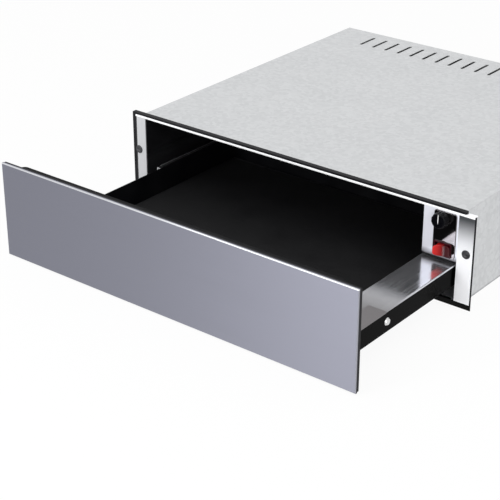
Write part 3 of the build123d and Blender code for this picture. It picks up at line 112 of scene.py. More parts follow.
def shade_between(material, mask, low, high, socket="Base Color"):
    """Drive a colour or a value of the material between two ends with a mask from 0 to 1."""
    tree, target = material.node_tree, shader_of(material).inputs[socket]
    if socket == "Base Color":
        ends = {MIX_MASK: mask, MIX_LOW: (*low, 1.0), MIX_HIGH: (*high, 1.0)}
        tree.links.new(add_node(tree, "ShaderNodeMix", ends, data_type="RGBA").outputs[MIXED], target)
    else:
        ends = {"Value": mask, "To Min": low, "To Max": high}
        tree.links.new(add_node(tree, "ShaderNodeMapRange", ends).outputs["Result"], target)


def raise_bump(material, height, strength, distance):
    """Bump the material's normal with a height from 0 to 1 over a distance in metres."""
    tree = material.node_tree
    bump = add_node(tree, "ShaderNodeBump", {"Height": height, "Strength": strength, "Distance": distance})
    tree.links.new(bump.outputs["Normal"], shader_of(material).inputs["Normal"])


def dress(material, *names):
    """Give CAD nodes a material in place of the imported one."""
    for name in names:
        slots = frame["nodes"][name].data.materials
        slots.clear()
        slots.append(material)


clouding, clouding_in, clouding_out = new_group(
    "clouding", [("Vector", "NodeSocketVector"), ("Fineness", "NodeSocketFloat")],
    [("Mask", "NodeSocketFloat")])
cloud_noise = add_node(clouding, "ShaderNodeTexNoise", {
    "Vector": clouding_in.outputs["Vector"], "Scale": clouding_in.outputs["Fineness"], "Detail": 5.0})
clouding.links.new(stretched(clouding, cloud_noise.outputs["Fac"], 0.3, 0.7), clouding_out.inputs["Mask"])

zinc = new_material("zinc_sheet", ZINC_PALE, metallic=0.85, roughness=0.42)
zinc_clouds = place_group(zinc, clouding, {"Fineness": 9.0})
zinc_place = add_node(zinc.node_tree, "ShaderNodeTexCoord", {})
spangle = add_node(zinc.node_tree, "ShaderNodeTexVoronoi", {
    "Vector": zinc_place.outputs["Object"], "Scale": CRYSTALS_PER_METRE})
spangle_grey = add_node(zinc.node_tree, "ShaderNodeSeparateColor", {"Color": spangle.outputs["Color"]})
shade_between(zinc, spangle_grey.outputs["Red"], ZINC_DARK, ZINC_PALE)
shade_between(zinc, zinc_clouds.outputs["Mask"], low=0.34, high=0.50, socket="Roughness")
raise_bump(zinc, spangle_grey.outputs["Green"], strength=0.05, distance=0.0002)
dress(zinc, "casing_base", "casing_side_left", "casing_side_right", "casing_back", "casing_top",
      "fan_bracket", "latch_striker", "runner_bracket_left", "runner_bracket_right")

# ---- cavity -----------------------------------------------------------------------------------------
# The cavity is lined with black enamelled sheet, smooth and glossy enough to mirror what is in it. A
# blanket of pale mineral wool lies between its ceiling and the casing's top.


def along(material, axis, edge, start, end):
    """Mask that rises evenly from 0 to 1 between two distances from an edge, along an Object axis."""
    tree = material.node_tree
    place = add_node(tree, "ShaderNodeTexCoord", {})
    parts = add_node(tree, "ShaderNodeSeparateXYZ", {"Vector": place.outputs["Object"]})
    return stretched(tree, parts.outputs[axis], edge + start, edge + end)


def clouded(name, fineness, low, high, roughness, metallic=0.0, specular=0.5, ior=1.5, bump=None,
            ramp=None):
    """Finish whose colour and roughness drift softly between two ends, in clouds.

    The fineness is about the number of clouds to a metre. Where both ends are the same, that colour or
    roughness is constant. A bump has its strength and its distance. A ramp gives the axis, the edge
    and the two distances from it between which the colour changes instead.
    """
    material = new_material(name, high, metallic, sum(roughness) / 2, specular, ior)
    clouds = place_group(material, clouding, {"Fineness": fineness}).outputs["Mask"]
    if low != high:
        shade_between(material, along(material, *ramp) if ramp else clouds, low, high)
    if roughness[0] != roughness[1]:
        shade_between(material, clouds, *roughness, "Roughness")
    if bump:
        raise_bump(material, clouds, *bump)
    return material


enamel = clouded("black_enamel", fineness=25.0, low=(0.009, 0.009, 0.010), high=(0.016, 0.016, 0.018),
                 roughness=(0.12, 0.22), specular=0.6)
dress(enamel, "cavity_wall_left", "cavity_wall_right", "cavity_ceiling", "cavity_wall_back")

blanket = clouded("mineral_wool", fineness=350.0, low=(0.50, 0.46, 0.37), high=(0.70, 0.66, 0.56),
                  roughness=(0.95, 0.95), bump=(0.6, 0.001))
dress(blanket, "insulation_blanket")

# ---- fan, element and electrical parts --------------------------------------------------------------
# Behind the rear wall a small fan blows through a ring of heated tube, guarded by a brass cut-out. The
# impeller is pressed from light alloy. The terminal block and the push latch are white mouldings, and
# a rough black sleeve holds the wires.
brushing, brushing_in, brushing_out = new_group(
    "brushing", [("Vector", "NodeSocketVector"), ("Fineness", "NodeSocketFloat")],
    [("Streaks", "NodeSocketFloat"), ("Scratches", "NodeSocketFloat")])
for label, detail, low, high in (("Streaks", 3.0, 0.30, 0.70), ("Scratches", 8.0, 0.35, 0.65)):
    lines = add_node(brushing, "ShaderNodeTexNoise", {
        "Vector": brushing_in.outputs["Vector"], "Scale": brushing_in.outputs["Fineness"], "Detail": detail})
    brushing.links.new(stretched(brushing, lines.outputs["Fac"], low, high), brushing_out.inputs[label])


def brushed(name, low, high, roughness, stretch, fineness=1.0, bump=0.08, metallic=1.0, ramp=None):
    """Brushed metal: colour, roughness and bump follow streaks that are long in one direction.

    The stretch times the fineness is about the number of streaks to a metre along each axis. A ramp
    gives the axis, the edge and the two distances from it between which the colour changes instead.
    """
    roughness_drift, bump_depth = 0.05, 0.0001
    material = new_material(name, high, metallic, roughness)
    lines = place_group(material, brushing, {"Fineness": fineness}, stretch)
    shade_between(material, along(material, *ramp) if ramp else lines.outputs["Streaks"], low, high)
    shade_between(material, lines.outputs["Scratches"], roughness - roughness_drift,
                  roughness + roughness_drift, "Roughness")
    raise_bump(material, lines.outputs["Scratches"], bump, bump_depth)
    return material


alloy = brushed("fan_alloy", low=(0.60, 0.61, 0.62), high=(0.75, 0.76, 0.77), roughness=0.35,
                stretch=(40, 40, 40), fineness=20.0)
dress(alloy, "fan_rotor")
motor = brushed("motor_steel", low=(0.26, 0.27, 0.28), high=(0.36, 0.37, 0.38), roughness=0.42,
                stretch=(8, 1400, 8))
dress(motor, "fan_motor")
brass = brushed("cutout_brass", low=(0.58, 0.44, 0.20), high=(0.72, 0.56, 0.28), roughness=0.30,
                stretch=(60, 60, 60), fineness=10.0)
dress(brass, "safety_cutout")
element = clouded("element_tube", fineness=55.0, low=(0.14, 0.12, 0.11), high=(0.30, 0.26, 0.22),
                  roughness=(0.45, 0.45), metallic=0.9)
dress(element, "heating_element")
moulding = clouded("white_moulding", fineness=80.0, low=(0.66, 0.66, 0.64), high=(0.76, 0.76, 0.74),
                   roughness=(0.45, 0.45))
dress(moulding, "terminal_block", "latch_housing", "latch_plunger")
sleeve = clouded("loom_sleeve", fineness=900.0, low=(0.015, 0.015, 0.017), high=(0.06, 0.06, 0.065),
                 roughness=(0.6, 0.6), bump=(0.5, 0.0004))
dress(sleeve, "wiring_loom")

# ---- runners ----------------------------------------------------------------------------------------
# The telescopic runners have three rails each, rolled from zinc-plated steel, with steel balls in
# pressed cages between them. The casing's and the drawer's screws and the knob's shaft are the same
# bright steel as the balls.
plated = brushed("plated_steel", low=(0.50, 0.51, 0.52), high=(0.62, 0.63, 0.64), roughness=0.30,
                 stretch=(1100, 5, 1100))
for side in ("left", "right"):
    dress(plated, f"runner_fixed_{side}", f"runner_middle_{side}", f"runner_drawer_{side}")
ball_steel = brushed("ball_steel", low=(0.60, 0.60, 0.60), high=(0.74, 0.74, 0.74), roughness=0.18,
                     stretch=(30, 30, 30), fineness=10.0)
dress(ball_steel, "ball_cages_outer", "ball_cages_inner", "casing_screws", "drawer_screws",
      "thermostat_shaft")

# ---- front frame ------------------------------------------------------------------------------------
# Two flanges, a top rail and the control fascia are bright steel strips with a very fine grain along
# each of them. They lie on the front edges of the kitchen unit and are screwed to it. The right flange
# darkens towards its top as a painted reflection of the dark tray, the left one darkens at its outer
# edge, and the fascia darkens at its foot as painted shade from the ledge.
UPRIGHT_GRAIN, LEVEL_GRAIN = (1500, 1500, 10), (10, 1500, 1500)
flange_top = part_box("flange_right")[1][2]
# Painted reflection: the colour is near black at the top and brightens over the next 50 mm down, for the dark
# tray that the flange mirrors; the top is also made more metallic.
flange_steel = brushed("flange_steel", low=(0.07, 0.075, 0.08), high=(0.95, 0.955, 0.98), roughness=0.36,
                       stretch=UPRIGHT_GRAIN, bump=0.004, ramp=("Z", flange_top, -0.0034, -0.0544))
shade_between(flange_steel, along(flange_steel, "Z", flange_top, -0.0524, -0.0074), low=0.0, high=0.5,
              socket="Metallic")
dress(flange_steel, "flange_right")

left_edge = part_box("flange_left")[0][0]
left_steel = brushed("left_flange_steel", low=(0.012, 0.012, 0.013), high=(0.52, 0.525, 0.54),
                     roughness=0.36, stretch=UPRIGHT_GRAIN, bump=0.01, metallic=0.15,
                     ramp=("X", left_edge, 0.0018, 0.0022))
dress(left_steel, "flange_left")

rail_steel = brushed("frame_steel", low=(0.88, 0.885, 0.90), high=(0.93, 0.935, 0.95), roughness=0.38,
                     stretch=LEVEL_GRAIN, bump=0.02, metallic=0.1)
dress(rail_steel, "top_rail")

fascia_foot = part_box("control_fascia")[0][2]
# Painted shade: the colour is near black at the fascia's foot and brightens over its lowest 9 mm.
fascia_steel = brushed("fascia_steel", low=(0.05, 0.045, 0.05), high=(0.80, 0.81, 0.88), roughness=0.34,
                       stretch=UPRIGHT_GRAIN, bump=0.02, metallic=0.2,
                       ramp=("Z", fascia_foot, 0.0, 0.009))
dress(fascia_steel, "control_fascia")

# ---- black trim of the frame ------------------------------------------------------------------------
# A soft black strip covers the frame's top and outer edges, and a black enamelled strip closes it
# below the drawer. The cable gland at the back is moulded in the same black as the soft strip.
trim_black = clouded("trim_black", fineness=60.0, low=(0.006, 0.006, 0.007), high=(0.014, 0.014, 0.016),
                     roughness=(0.42, 0.58), ior=1.2)
dress(trim_black, "front_seal", "cable_gland")
strip_black = clouded("strip_black", fineness=60.0, low=(0.002, 0.002, 0.002), high=(0.006, 0.006, 0.006),
                      roughness=(0.45, 0.45), ior=1.15)
dress(strip_black, "bottom_strip")

# ---- niche screws -----------------------------------------------------------------------------------
# One blackened steel screw with a six-lobed recess goes through each flange into the kitchen unit's
# side. Their countersunk heads stand a little proud of the flanges.
LOBES = 6
# Radius and depth behind the head's front in millimetres, and the share by which the lobes swell it:
# the recess from its bottom up, then the head, then the shank with its point.
SCREW_PROFILE = np.array([
    (0.4, 0.7, 0), (1.9, 0.7, 0.16), (2.1, 0.6, 0.16), (2.35, 0.2, 0.16), (2.5, 0, 0.14),
    (4.6, 0, 0), (5.5, 0.1, 0), (6.0, 0.4, 0), (6.2, 0.8, 0), (6.2, 1.15, 0),
    (2.1, 1.18, 0), (2.0, 1.2, 0), (2.0, 17.2, 0), (0.3, 20.2, 0)])
blackened = clouded("blackened_screw", fineness=400.0, low=(0.045, 0.045, 0.05), high=(0.085, 0.085, 0.09),
                    roughness=(0.38, 0.38), metallic=0.9)
dress(blackened, "niche_screws")


def add_piece(name, points, faces, smooth, material):
    """Make a piece from arrays of points and lists of faces, at the origin, unturned and unscaled."""
    mesh = bpy.data.meshes.new(name)
    mesh.from_pydata(points.tolist(), [], faces)
    mesh.polygons.foreach_set("use_smooth", np.full(len(mesh.polygons), smooth))
    mesh.materials.append(material)
    piece = bpy.data.objects.new(name, mesh)
    bpy.context.scene.collection.objects.link(piece)
    return piece


def ring_piece(name, bodies, material, looped=False):
    """Closed piece from arrays of closed rings, one array for each body.

    Neighbouring rings are joined by quads round their whole length. Looped rings also join the last
    to the first and stay flat; otherwise each end ring is closed by a fan of triangles onto its mean
    point, and the surface is smooth.
    """
    points, faces = np.empty((0, 3)), []
    for rings in bodies:
        count, around = rings.shape[:2]
        first = len(points)
        step = np.arange(count if looped else count - 1)[:, None]
        following = (step + 1) % count
        here, beside = np.arange(around), (np.arange(around) + 1) % around
        quads = np.stack([step * around + here, step * around + beside, following * around + beside,
                          following * around + here], axis=-1).reshape(-1, 4)
        points = np.concatenate([points, rings.reshape(-1, 3)])
        faces += (quads + first).tolist()
        if not looped:
            points = np.concatenate([points, rings[:1].mean(axis=1), rings[-1:].mean(axis=1)])
            last, pole = first + (count - 1) * around, np.full(around, first + count * around)
            faces += np.stack([pole, beside + first, here + first], axis=-1).tolist()
            faces += np.stack([pole + 1, here + last, beside + last], axis=-1).tolist()
    return add_piece(name, points, faces, not looped, material)


def turned_rings(middle_x, middle_z, radius, angle, depth):
    """Rings round an axis from front to back: each has a radius at every angle and one depth."""
    return np.stack([middle_x + radius * np.cos(angle), np.broadcast_to(depth[:, None], radius.shape),
                     middle_z + radius * np.sin(angle)], axis=-1)


def screw_rings(middle_x, middle_z, front):
    """Rings of one niche screw, from the bottom of its recess over the head to its point.

    The profile is turned round the screw's axis. In the recess the radius also swells by the lobes'
    share times the cosine of six turns round the ring.
    """
    reach, behind, lobe = SCREW_PROFILE.T[:, :, None]
    angle = -np.linspace(0, 2 * np.pi, 96, endpoint=False)
    radius = reach / 1000 * (1 + lobe * np.cos(LOBES * angle))
    return turned_rings(middle_x, middle_z, radius, angle, front + behind[:, 0] / 1000)


screws_low, screws_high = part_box("niche_screws")
screw_x = screws_high[0] - SCREW_PROFILE[:, 0].max() / 1000
screw_z = (screws_low[2] + screws_high[2]) / 2
niche_pair = ring_piece("niche_screw_pair", [screw_rings(middle_x, screw_z, screws_low[1])
                                             for middle_x in (-screw_x, screw_x)], blackened)
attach(niche_pair, "casing")
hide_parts("niche_screws")

# ---- control plate and rocker switch ----------------------------------------------------------------
# A glossy black plate in the fascia carries the controls. The illuminated rocker is moulded in clear
# red plastic, with a hollowed front, and tips on two pins in a dark bezel. The bezel's front carries a
# painted red glow from the rocker, and the rocker's right end carries painted shade.
pivots = {joint["name"]: joint["pos_m"] for joint in frame["joints"] if "pos_m" in joint}
RED, RED_IN_SHADE = (0.58, 0.014, 0.012), (0.045, 0.001, 0.003)
gloss = clouded("gloss_black", fineness=90.0, low=(0.14, 0.13, 0.135), high=(0.16, 0.15, 0.155),
                roughness=(0.05, 0.09), metallic=1.0)
dress(gloss, "control_insert")

BEZEL_BLACK, PAINTED_RED_GLOW = (0.003, 0.002, 0.003), (0.040, 0.003, 0.007)
plate_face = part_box("control_insert")[0][1]
# Painted glow: the bezel turns from black to dark red over its front 1.5 mm, for the rocker's red light
# falling on it.
bezel = new_material("switch_moulding", BEZEL_BLACK, metallic=0.0, roughness=0.22, ior=1.25)
shade_between(bezel, along(bezel, "Y", plate_face, 0.0, -0.0015), BEZEL_BLACK, PAINTED_RED_GLOW)
dress(bezel, "switch_body")

# Painted shade: the lens is bright red at the rocker's left end and darkens to near black towards its right
# end.
lens = clouded("red_lens", fineness=120.0, low=RED, high=RED_IN_SHADE, roughness=(0.10, 0.18), ior=1.32,
               ramp=("X", pivots["rocker_tilt"][0], -0.0077, 0.0058))
dress(lens, "switch_rocker")


def rounded_rings(half_w, half_h, power, around):
    """Outlines of rounded rectangles, anticlockwise: places along their width and their height.

    There is a row for each half width and half height. At each angle the radius is one over the
    power-th root of the sum of the cosine over the half width and the sine over the half height,
    each taken to that power.
    """
    angle = np.linspace(0, 2 * np.pi, around, endpoint=False)
    flat = np.abs(np.cos(angle) / half_w[:, None]) ** power + np.abs(np.sin(angle) / half_h[:, None]) ** power
    reach = flat ** (-1 / power)
    return reach * np.cos(angle), reach * np.sin(angle)


def rocker_rings(pivot):
    """Rings of the rocker, from its hidden back to the middle of its hollowed front.

    Each ring is a rounded rectangle. Its half width is even along the neck and then grows to the
    flared front, and a quarter round leads onto the front face. The front's depth is the valley plus
    the rise times the square of the width over the half width, so both ends stand up, and the height
    narrows towards the left end in the same way. All of it is turned by the tilt about the pivot. A
    ring just before the neck's end keeps the crease there crisp.
    """
    tilt, squareness, around, narrowing = np.radians(-12.0), 5, 160, 0.20
    half_w, neck_w, half_h, edge = 0.01175, 0.0098, 0.0081, 0.0014
    back, neck_end, before_crease, valley, rise = -0.0024, 0.0082, 0.0004, 0.0102, 0.0036
    innermost = 0.04
    flare = np.linspace(0, 1, 5)
    turn = np.linspace(0, np.pi / 2, 8)[1:]
    face = np.linspace(1.0, innermost, 24)[1:]
    width = np.concatenate([[neck_w, neck_w], neck_w + flare * (half_w - neck_w),
                            half_w - edge * (1 - np.cos(turn)), (half_w - edge) * face])
    height = np.concatenate([np.full(2 + len(flare), half_h), half_h - edge * (1 - np.cos(turn)),
                             (half_h - edge) * face])
    start = np.concatenate([[back, neck_end - before_crease], np.full(len(width) - 2, neck_end)])
    level = np.concatenate([[0, 0], flare, np.ones(len(turn) + len(face))])
    drop = np.concatenate([[0, 0], edge * flare, edge * (1 - np.sin(turn)), np.zeros(len(face))])
    u, v = rounded_rings(width, height, squareness, around)
    v = v * (1 - narrowing * np.clip(-u / half_w, 0, 1) ** 2)
    front = valley + rise * (u / half_w) ** 2 - drop[:, None]
    depth = start[:, None] + level[:, None] * (front - neck_end)
    return np.stack([pivot[0] + u * np.cos(tilt) - depth * np.sin(tilt),
                     pivot[1] - u * np.sin(tilt) - depth * np.cos(tilt), pivot[2] + v], axis=-1)


rocker = ring_piece("rocker_cap", [rocker_rings(pivots["rocker_tilt"])], lens)
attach(rocker, "rocker")
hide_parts("switch_rocker")

# ---- thermostat knob --------------------------------------------------------------------------------
# The knob is a satin black moulding with twelve flutes that fade out over its rounded front edge. It is
# pushed onto the thermostat's shaft, and a printed white line on its face is the pointer.
FLUTES = 12
# Radius, height above the knob's back and depth of the flutes in millimetres, from the back over the
# rounded front edge to the middle of the face.
KNOB_PROFILE = np.array([
    (10.3, 0, 0.8), (10.9, 0.1, 0.8), (11.0, 0.6, 0.8), (11.0, 4.2, 0.8), (10.9, 7.2, 0.8), (10.75, 9.4, 0.7),
    (10.6, 10.3, 0.5), (10.3, 10.9, 0.3), (9.9, 11.2, 0.1), (9.3, 11.35, 0), (8.0, 11.35, 0), (5.0, 11.3, 0),
    (1.0, 11.3, 0)])
satin = clouded("satin_black", fineness=150.0, low=(0.002, 0.002, 0.003), high=(0.002, 0.002, 0.003),
                roughness=(0.20, 0.32), ior=1.22)
dress(satin, "thermostat_knob", "thermostat_body")


def knob_rings(middle_x, middle_z, back):
    """Rings of the knob, from its back to the middle of its front.

    The profile is turned round the knob's axis. The radius is drawn in by the flutes' depth times the
    fourth power of the cosine of half as many turns as there are flutes.
    """
    reach, above, flute = KNOB_PROFILE.T[:, :, None] / 1000
    angle = np.linspace(0, 2 * np.pi, 192, endpoint=False)
    radius = reach - flute * np.cos(FLUTES / 2 * angle) ** 4
    return turned_rings(middle_x, middle_z, radius, angle, back - above[:, 0])


knob_x, _, knob_z = pivots["knob_turn"]
knob_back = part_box("thermostat_knob")[1][1]
knob = ring_piece("fluted_knob", [knob_rings(knob_x, knob_z, knob_back)], satin)
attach(knob, "knob")
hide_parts("thermostat_knob")

pointer_white = clouded("pointer_white", fineness=200.0, low=(0.76, 0.76, 0.76), high=(0.84, 0.84, 0.84),
                        roughness=(0.35, 0.35))


def pointer_rings(middle_x, middle_z, face_y):
    """Rings of the pointer line: a narrow rounded bar on the knob, domed like a pillow.

    Ring by ring the outline is a rounded rectangle shrunk by the cosine of a quarter turn, while it
    rises by the sine of the same angle from the knob's face.
    """
    half_w, half_h, rise, squareness, around = 0.0006, 0.0070, 0.00035, 4, 64
    nearly_a_quarter = np.pi / 2 * 0.96
    angle = np.linspace(0, nearly_a_quarter, 7)
    u, v = rounded_rings(half_w * np.cos(angle), half_h - half_w * (1 - np.cos(angle)), squareness, around)
    depth = face_y - rise * np.sin(angle)
    return np.stack([middle_x + u, np.broadcast_to(depth[:, None], u.shape), middle_z + v], axis=-1)


POINTER_ABOVE_MIDDLE, FACE_ABOVE_BACK = 0.0031, 0.01125
pointer = ring_piece("knob_pointer", [pointer_rings(knob_x, knob_z + POINTER_ABOVE_MIDDLE,
                                                    knob_back - FACE_ABOVE_BACK)], pointer_white)
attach(pointer, "knob")

# ---- tray -------------------------------------------------------------------------------------------
# The tray is a floor, two sides and two walls folded from sheet and enamelled satin black. The wall
# under the ledge on its right has a smoother, darker enamel.
satin_enamel = clouded("satin_enamel", fineness=30.0, low=(0.003, 0.003, 0.004), high=(0.006, 0.006, 0.007),
                       roughness=(0.28, 0.42), ior=1.25)
dress(satin_enamel, "tray_floor", "tray_side_left", "tray_side_right", "tray_front_wall", "tray_rear_wall")
dark_enamel = clouded("dark_enamel", fineness=30.0, low=(0.001, 0.001, 0.001), high=(0.001, 0.001, 0.001),
                      roughness=(0.20, 0.30), ior=1.08)
dress(dark_enamel, "side_wall")

# ---- mat --------------------------------------------------------------------------------------------
# The mat is black rubber, moulded with fine round ribs from front to back so that nothing slides on it.
# It lies loose on the tray's floor and is cut with rounded corners.
MAT_BLACK = (0.010, 0.010, 0.011)
mat_rubber = clouded("ribbed_rubber", fineness=20.0, low=MAT_BLACK, high=MAT_BLACK, roughness=(0.48, 0.66),
                     ior=1.35)
dress(mat_rubber, "nonslip_mat")


def slab_piece(name, top, bottom, material):
    """Closed piece between two grids of points, the top one and the bottom one under it.

    Quads cover the top, the bottom the other way round, and strips join the four borders.
    """
    rows, columns = top.shape[:2]
    index = np.arange(rows * columns).reshape(rows, columns)
    under = index + rows * columns
    cover = np.stack([index[:-1, :-1], index[:-1, 1:], index[1:, 1:], index[1:, :-1]], axis=-1)
    base = np.stack([under[:-1, :-1], under[1:, :-1], under[1:, 1:], under[:-1, 1:]], axis=-1)
    border = np.concatenate([index[0, :], index[1:, -1], index[-1, -2::-1], index[-2:0:-1, 0]])
    ahead_of = np.roll(border, -1)
    rim = np.stack([border, border + rows * columns, ahead_of + rows * columns, ahead_of], axis=-1)
    faces = np.concatenate([cover.reshape(-1, 4), base.reshape(-1, 4), rim])
    points = np.concatenate([top.reshape(-1, 3), bottom.reshape(-1, 3)])
    return add_piece(name, points, faces.tolist(), True, material)


def mat_grids(low, high):
    """Top and bottom grids of the ribbed mat between the two corners of its box.

    The top carries round ribs that run from front to back: the height falls by the rib's depth times
    the square of the cosine of half a turn per pitch. Within the edge width of each border the top
    falls along a quarter ellipse, and near the four corners the rows narrow along an arc.
    """
    pitch, depth, edge, corner, edge_fall, steps_per_rib = 0.0020, 0.0006, 0.0008, 0.0060, 0.6, 8
    middle, half, thick = (low[0] + high[0]) / 2, (high[0] - low[0]) / 2, high[2] - low[2]
    x = np.linspace(-half, half, steps_per_rib * int(np.ceil(2 * half / pitch)) + 1)
    ends = np.concatenate([np.linspace(0, edge, 5), np.linspace(edge, corner, 8)[1:]])
    length = high[1] - low[1]
    y = np.concatenate([ends, [length / 4, length / 2, length * 3 / 4], (length - ends)[::-1]])
    from_end = np.minimum(y, length - y)
    miss = np.clip(corner - from_end, 0, corner)
    narrow = half - (corner - np.sqrt(corner ** 2 - miss ** 2))
    across = x[None, :] * (narrow / half)[:, None]
    border = np.minimum(from_end[:, None], half - np.abs(x)[None, :])
    fall = 1 - np.sqrt(np.clip(1 - (1 - np.clip(border / edge, 0, 1)) ** 2, 0, 1))
    rib = depth * np.cos(np.pi * x / pitch) ** 2
    height = high[2] - rib[None, :] * (1 - fall) - fall * thick * edge_fall
    top = np.stack([middle + across, np.broadcast_to(low[1] + y[:, None], across.shape), height], axis=-1)
    bottom = top.copy()
    bottom[:, :, 2] = low[2]
    return top, bottom


ribbed_mat = slab_piece("ribbed_mat", *mat_grids(*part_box("nonslip_mat")), mat_rubber)
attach(ribbed_mat, "drawer")
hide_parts("nonslip_mat")

# ---- ledge and corner bracket -----------------------------------------------------------------------
# A ledge of polished steel covers the right runner; towards the front its colour is darkened as a
# painted reflection of the dark front. A folded bracket of darker steel ties it to the front and is
# screwed to the side wall.
LENGTHWISE_GRAIN = (300, 5, 300)
ledge_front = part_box("side_ledge")[0][1]
# Painted reflection: the colour is dark at the front and brightens between about 67 mm and 162 mm behind it,
# for the dark front that the ledge mirrors.
ledge_steel = brushed("ledge_steel", low=(0.175, 0.168, 0.172), high=(0.64, 0.65, 0.69), roughness=0.16,
                      stretch=LENGTHWISE_GRAIN, bump=0.004, metallic=0.9,
                      ramp=("Y", ledge_front, 0.0669, 0.1619))
dress(ledge_steel, "side_ledge")
bracket_steel = brushed("bracket_steel", low=(0.175, 0.165, 0.17), high=(0.195, 0.185, 0.19),
                        roughness=0.22, stretch=LENGTHWISE_GRAIN, bump=0.004)
dress(bracket_steel, "corner_bracket")

# ---- steel front ------------------------------------------------------------------------------------
# The front is a shallow pan of steel with a fine horizontal grain, pressed over a dark board. Its rims
# carry a painted highlight, most of all the top one, and its side returns carry painted shade.
PAINTED_RIM_HIGHLIGHT, PAINTED_RETURN_SHADE = (0.74, 0.75, 0.78), (0.03, 0.03, 0.035)
panel_steel = brushed("panel_steel", low=(0.228, 0.232, 0.276), high=(0.244, 0.248, 0.294),
                      roughness=0.50, stretch=(5, 900, 900), bump=0.015)
shader_of(panel_steel).inputs["Anisotropic"].default_value = 0.85
shader_of(panel_steel).inputs["Anisotropic Rotation"].default_value = 0.25


def combined(tree, operation, *values):
    """Several masks or numbers made one at each place, by an operation of the Math node."""
    result = values[0]
    for value in values[1:]:
        result = add_node(tree, "ShaderNodeMath", {0: result, 1: value}, operation=operation).outputs[0]
    return result


def tint_over(material, mask, tint):
    """Lay a tint over the material's present colour where a mask is bright."""
    tree, colour = material.node_tree, shader_of(material).inputs["Base Color"]
    ends = {MIX_MASK: mask, MIX_LOW: colour.links[0].from_socket, MIX_HIGH: (*tint, 1.0)}
    tree.links.new(add_node(tree, "ShaderNodeMix", ends, data_type="RGBA").outputs[MIXED], colour)


(panel_left, panel_front, panel_foot), (panel_right, panel_back, panel_top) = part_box("front_skin")
highlight_rims = combined(panel_steel.node_tree, "MAXIMUM",
                along(panel_steel, "Z", panel_top, -0.0014, -0.0008),
                along(panel_steel, "X", panel_right, -0.0016, 0.0040),
                along(panel_steel, "X", panel_left, 0.0016, -0.0040),
                along(panel_steel, "Z", panel_foot, 0.0016, -0.0030))
shaded_returns = combined(panel_steel.node_tree, "MAXIMUM",
                        along(panel_steel, "X", panel_right, -0.0007, -0.0003),
                        along(panel_steel, "X", panel_left, 0.0007, 0.0003))
foremost = along(panel_steel, "Y", panel_front, 0.0022, 0.0016)
behind_rim = along(panel_steel, "Y", panel_front, 0.0013, 0.0017)
# Painted highlight: the rims' front faces are tinted bright, most of all along the top.
tint_over(panel_steel, combined(panel_steel.node_tree, "MULTIPLY", highlight_rims, foremost), PAINTED_RIM_HIGHLIGHT)
# Painted shade: the side returns behind the rim are tinted nearly black.
tint_over(panel_steel, combined(panel_steel.node_tree, "MULTIPLY", shaded_returns, behind_rim), PAINTED_RETURN_SHADE)
dress(panel_steel, "front_skin")

# ---- board behind the front -------------------------------------------------------------------------
# The board stiffens the steel pan, and a thin black edge band is glued round it behind the pan's
# return. At the back a black frame with rounded ends and a flat plate tie it to the tray, and four
# rubber bumpers meet the flanges when the drawer shuts.
board = clouded("backing_board", fineness=40.0, low=(0.006, 0.006, 0.007), high=(0.014, 0.014, 0.016),
                roughness=(0.55, 0.55), ior=1.25)
dress(board, "front_backing")


def edging_rings(low, high, pan_back):
    """Rings of the board's edging, one ring at each step round the board between its two corners.

    The steps go round a rectangle whose corners are quarter circles. At each step the ring is the
    edging's section: its reach beyond the board's edge, and its place behind the pan's return.
    """
    corner, steps = 0.0010, 6
    reach = np.array([0.0009, 0.0009, 0.0006, -0.0002, -0.0002])
    place = pan_back + np.array([0.0001, 0.0032, 0.0036, 0.0036, 0.0001])
    quadrant = np.repeat(np.arange(4), steps) * np.pi / 2
    angle = (quadrant + np.tile(np.linspace(0, np.pi / 2, steps), 4))[:, None]
    side, level = np.sign(np.cos(quadrant + np.pi / 4)), np.sign(np.sin(quadrant + np.pi / 4))
    half_w, half_h, middle_z = high[0] - corner, (high[2] - low[2]) / 2 - corner, (low[2] + high[2]) / 2
    x = side[:, None] * half_w + (corner + reach) * np.cos(angle)
    z = middle_z + level[:, None] * half_h + (corner + reach) * np.sin(angle)
    return np.stack([x, np.broadcast_to(place, x.shape), z], axis=-1)


edging = ring_piece("board_edging", [edging_rings(*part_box("front_backing"), panel_back)], board, looped=True)
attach(edging, "drawer")

INNER_BLACK = (0.003, 0.003, 0.004)
inner_black = clouded("inner_frame_black", fineness=45.0, low=INNER_BLACK, high=INNER_BLACK,
                      roughness=(0.48, 0.60), ior=1.15)
dress(inner_black, "front_inner_frame", "front_inner_plate")
bumper = clouded("bumper_rubber", fineness=300.0, low=(0.02, 0.02, 0.02), high=(0.035, 0.035, 0.036),
                 roughness=(0.8, 0.8))
dress(bumper, "front_bumpers")

# ---- floor and surround -----------------------------------------------------------------------------
# A plain pale floor under a white surround. Both look nearly white to the camera and in reflections,
# and send less light than that onto the drawer.
WHITE = (1.0, 1.0, 1.0, 1.0)
FLOOR_REACH, FLOOR_DROP, FLOOR_GREY, FLOOR_GLOW = 30.0, 0.0005, 0.80, 0.93
SURROUND_LIGHT = 0.80
floor_mesh = bpy.data.meshes.new("floor")
floor_mesh.from_pydata([(x * FLOOR_REACH, y * FLOOR_REACH, -FLOOR_DROP)
                        for x, y in ((-1, -1), (1, -1), (1, 1), (-1, 1))], [], [(0, 1, 2, 3)])
floor = bpy.data.objects.new("floor", floor_mesh)
bpy.context.scene.collection.objects.link(floor)
floor_material = bpy.data.materials.new("pale_floor")
floor_material.use_nodes = True
floor_tree = floor_material.node_tree
floor_tree.nodes.clear()
floor_rays = add_node(floor_tree, "ShaderNodeLightPath", {}).outputs
floor_seen = combined(floor_tree, "MAXIMUM", floor_rays["Is Camera Ray"], floor_rays["Is Glossy Ray"])
floor_diffuse = add_node(floor_tree, "ShaderNodeBsdfDiffuse", {"Color": (*[FLOOR_GREY] * 3, 1.0)})
floor_shine = add_node(floor_tree, "ShaderNodeEmission", {"Color": WHITE})
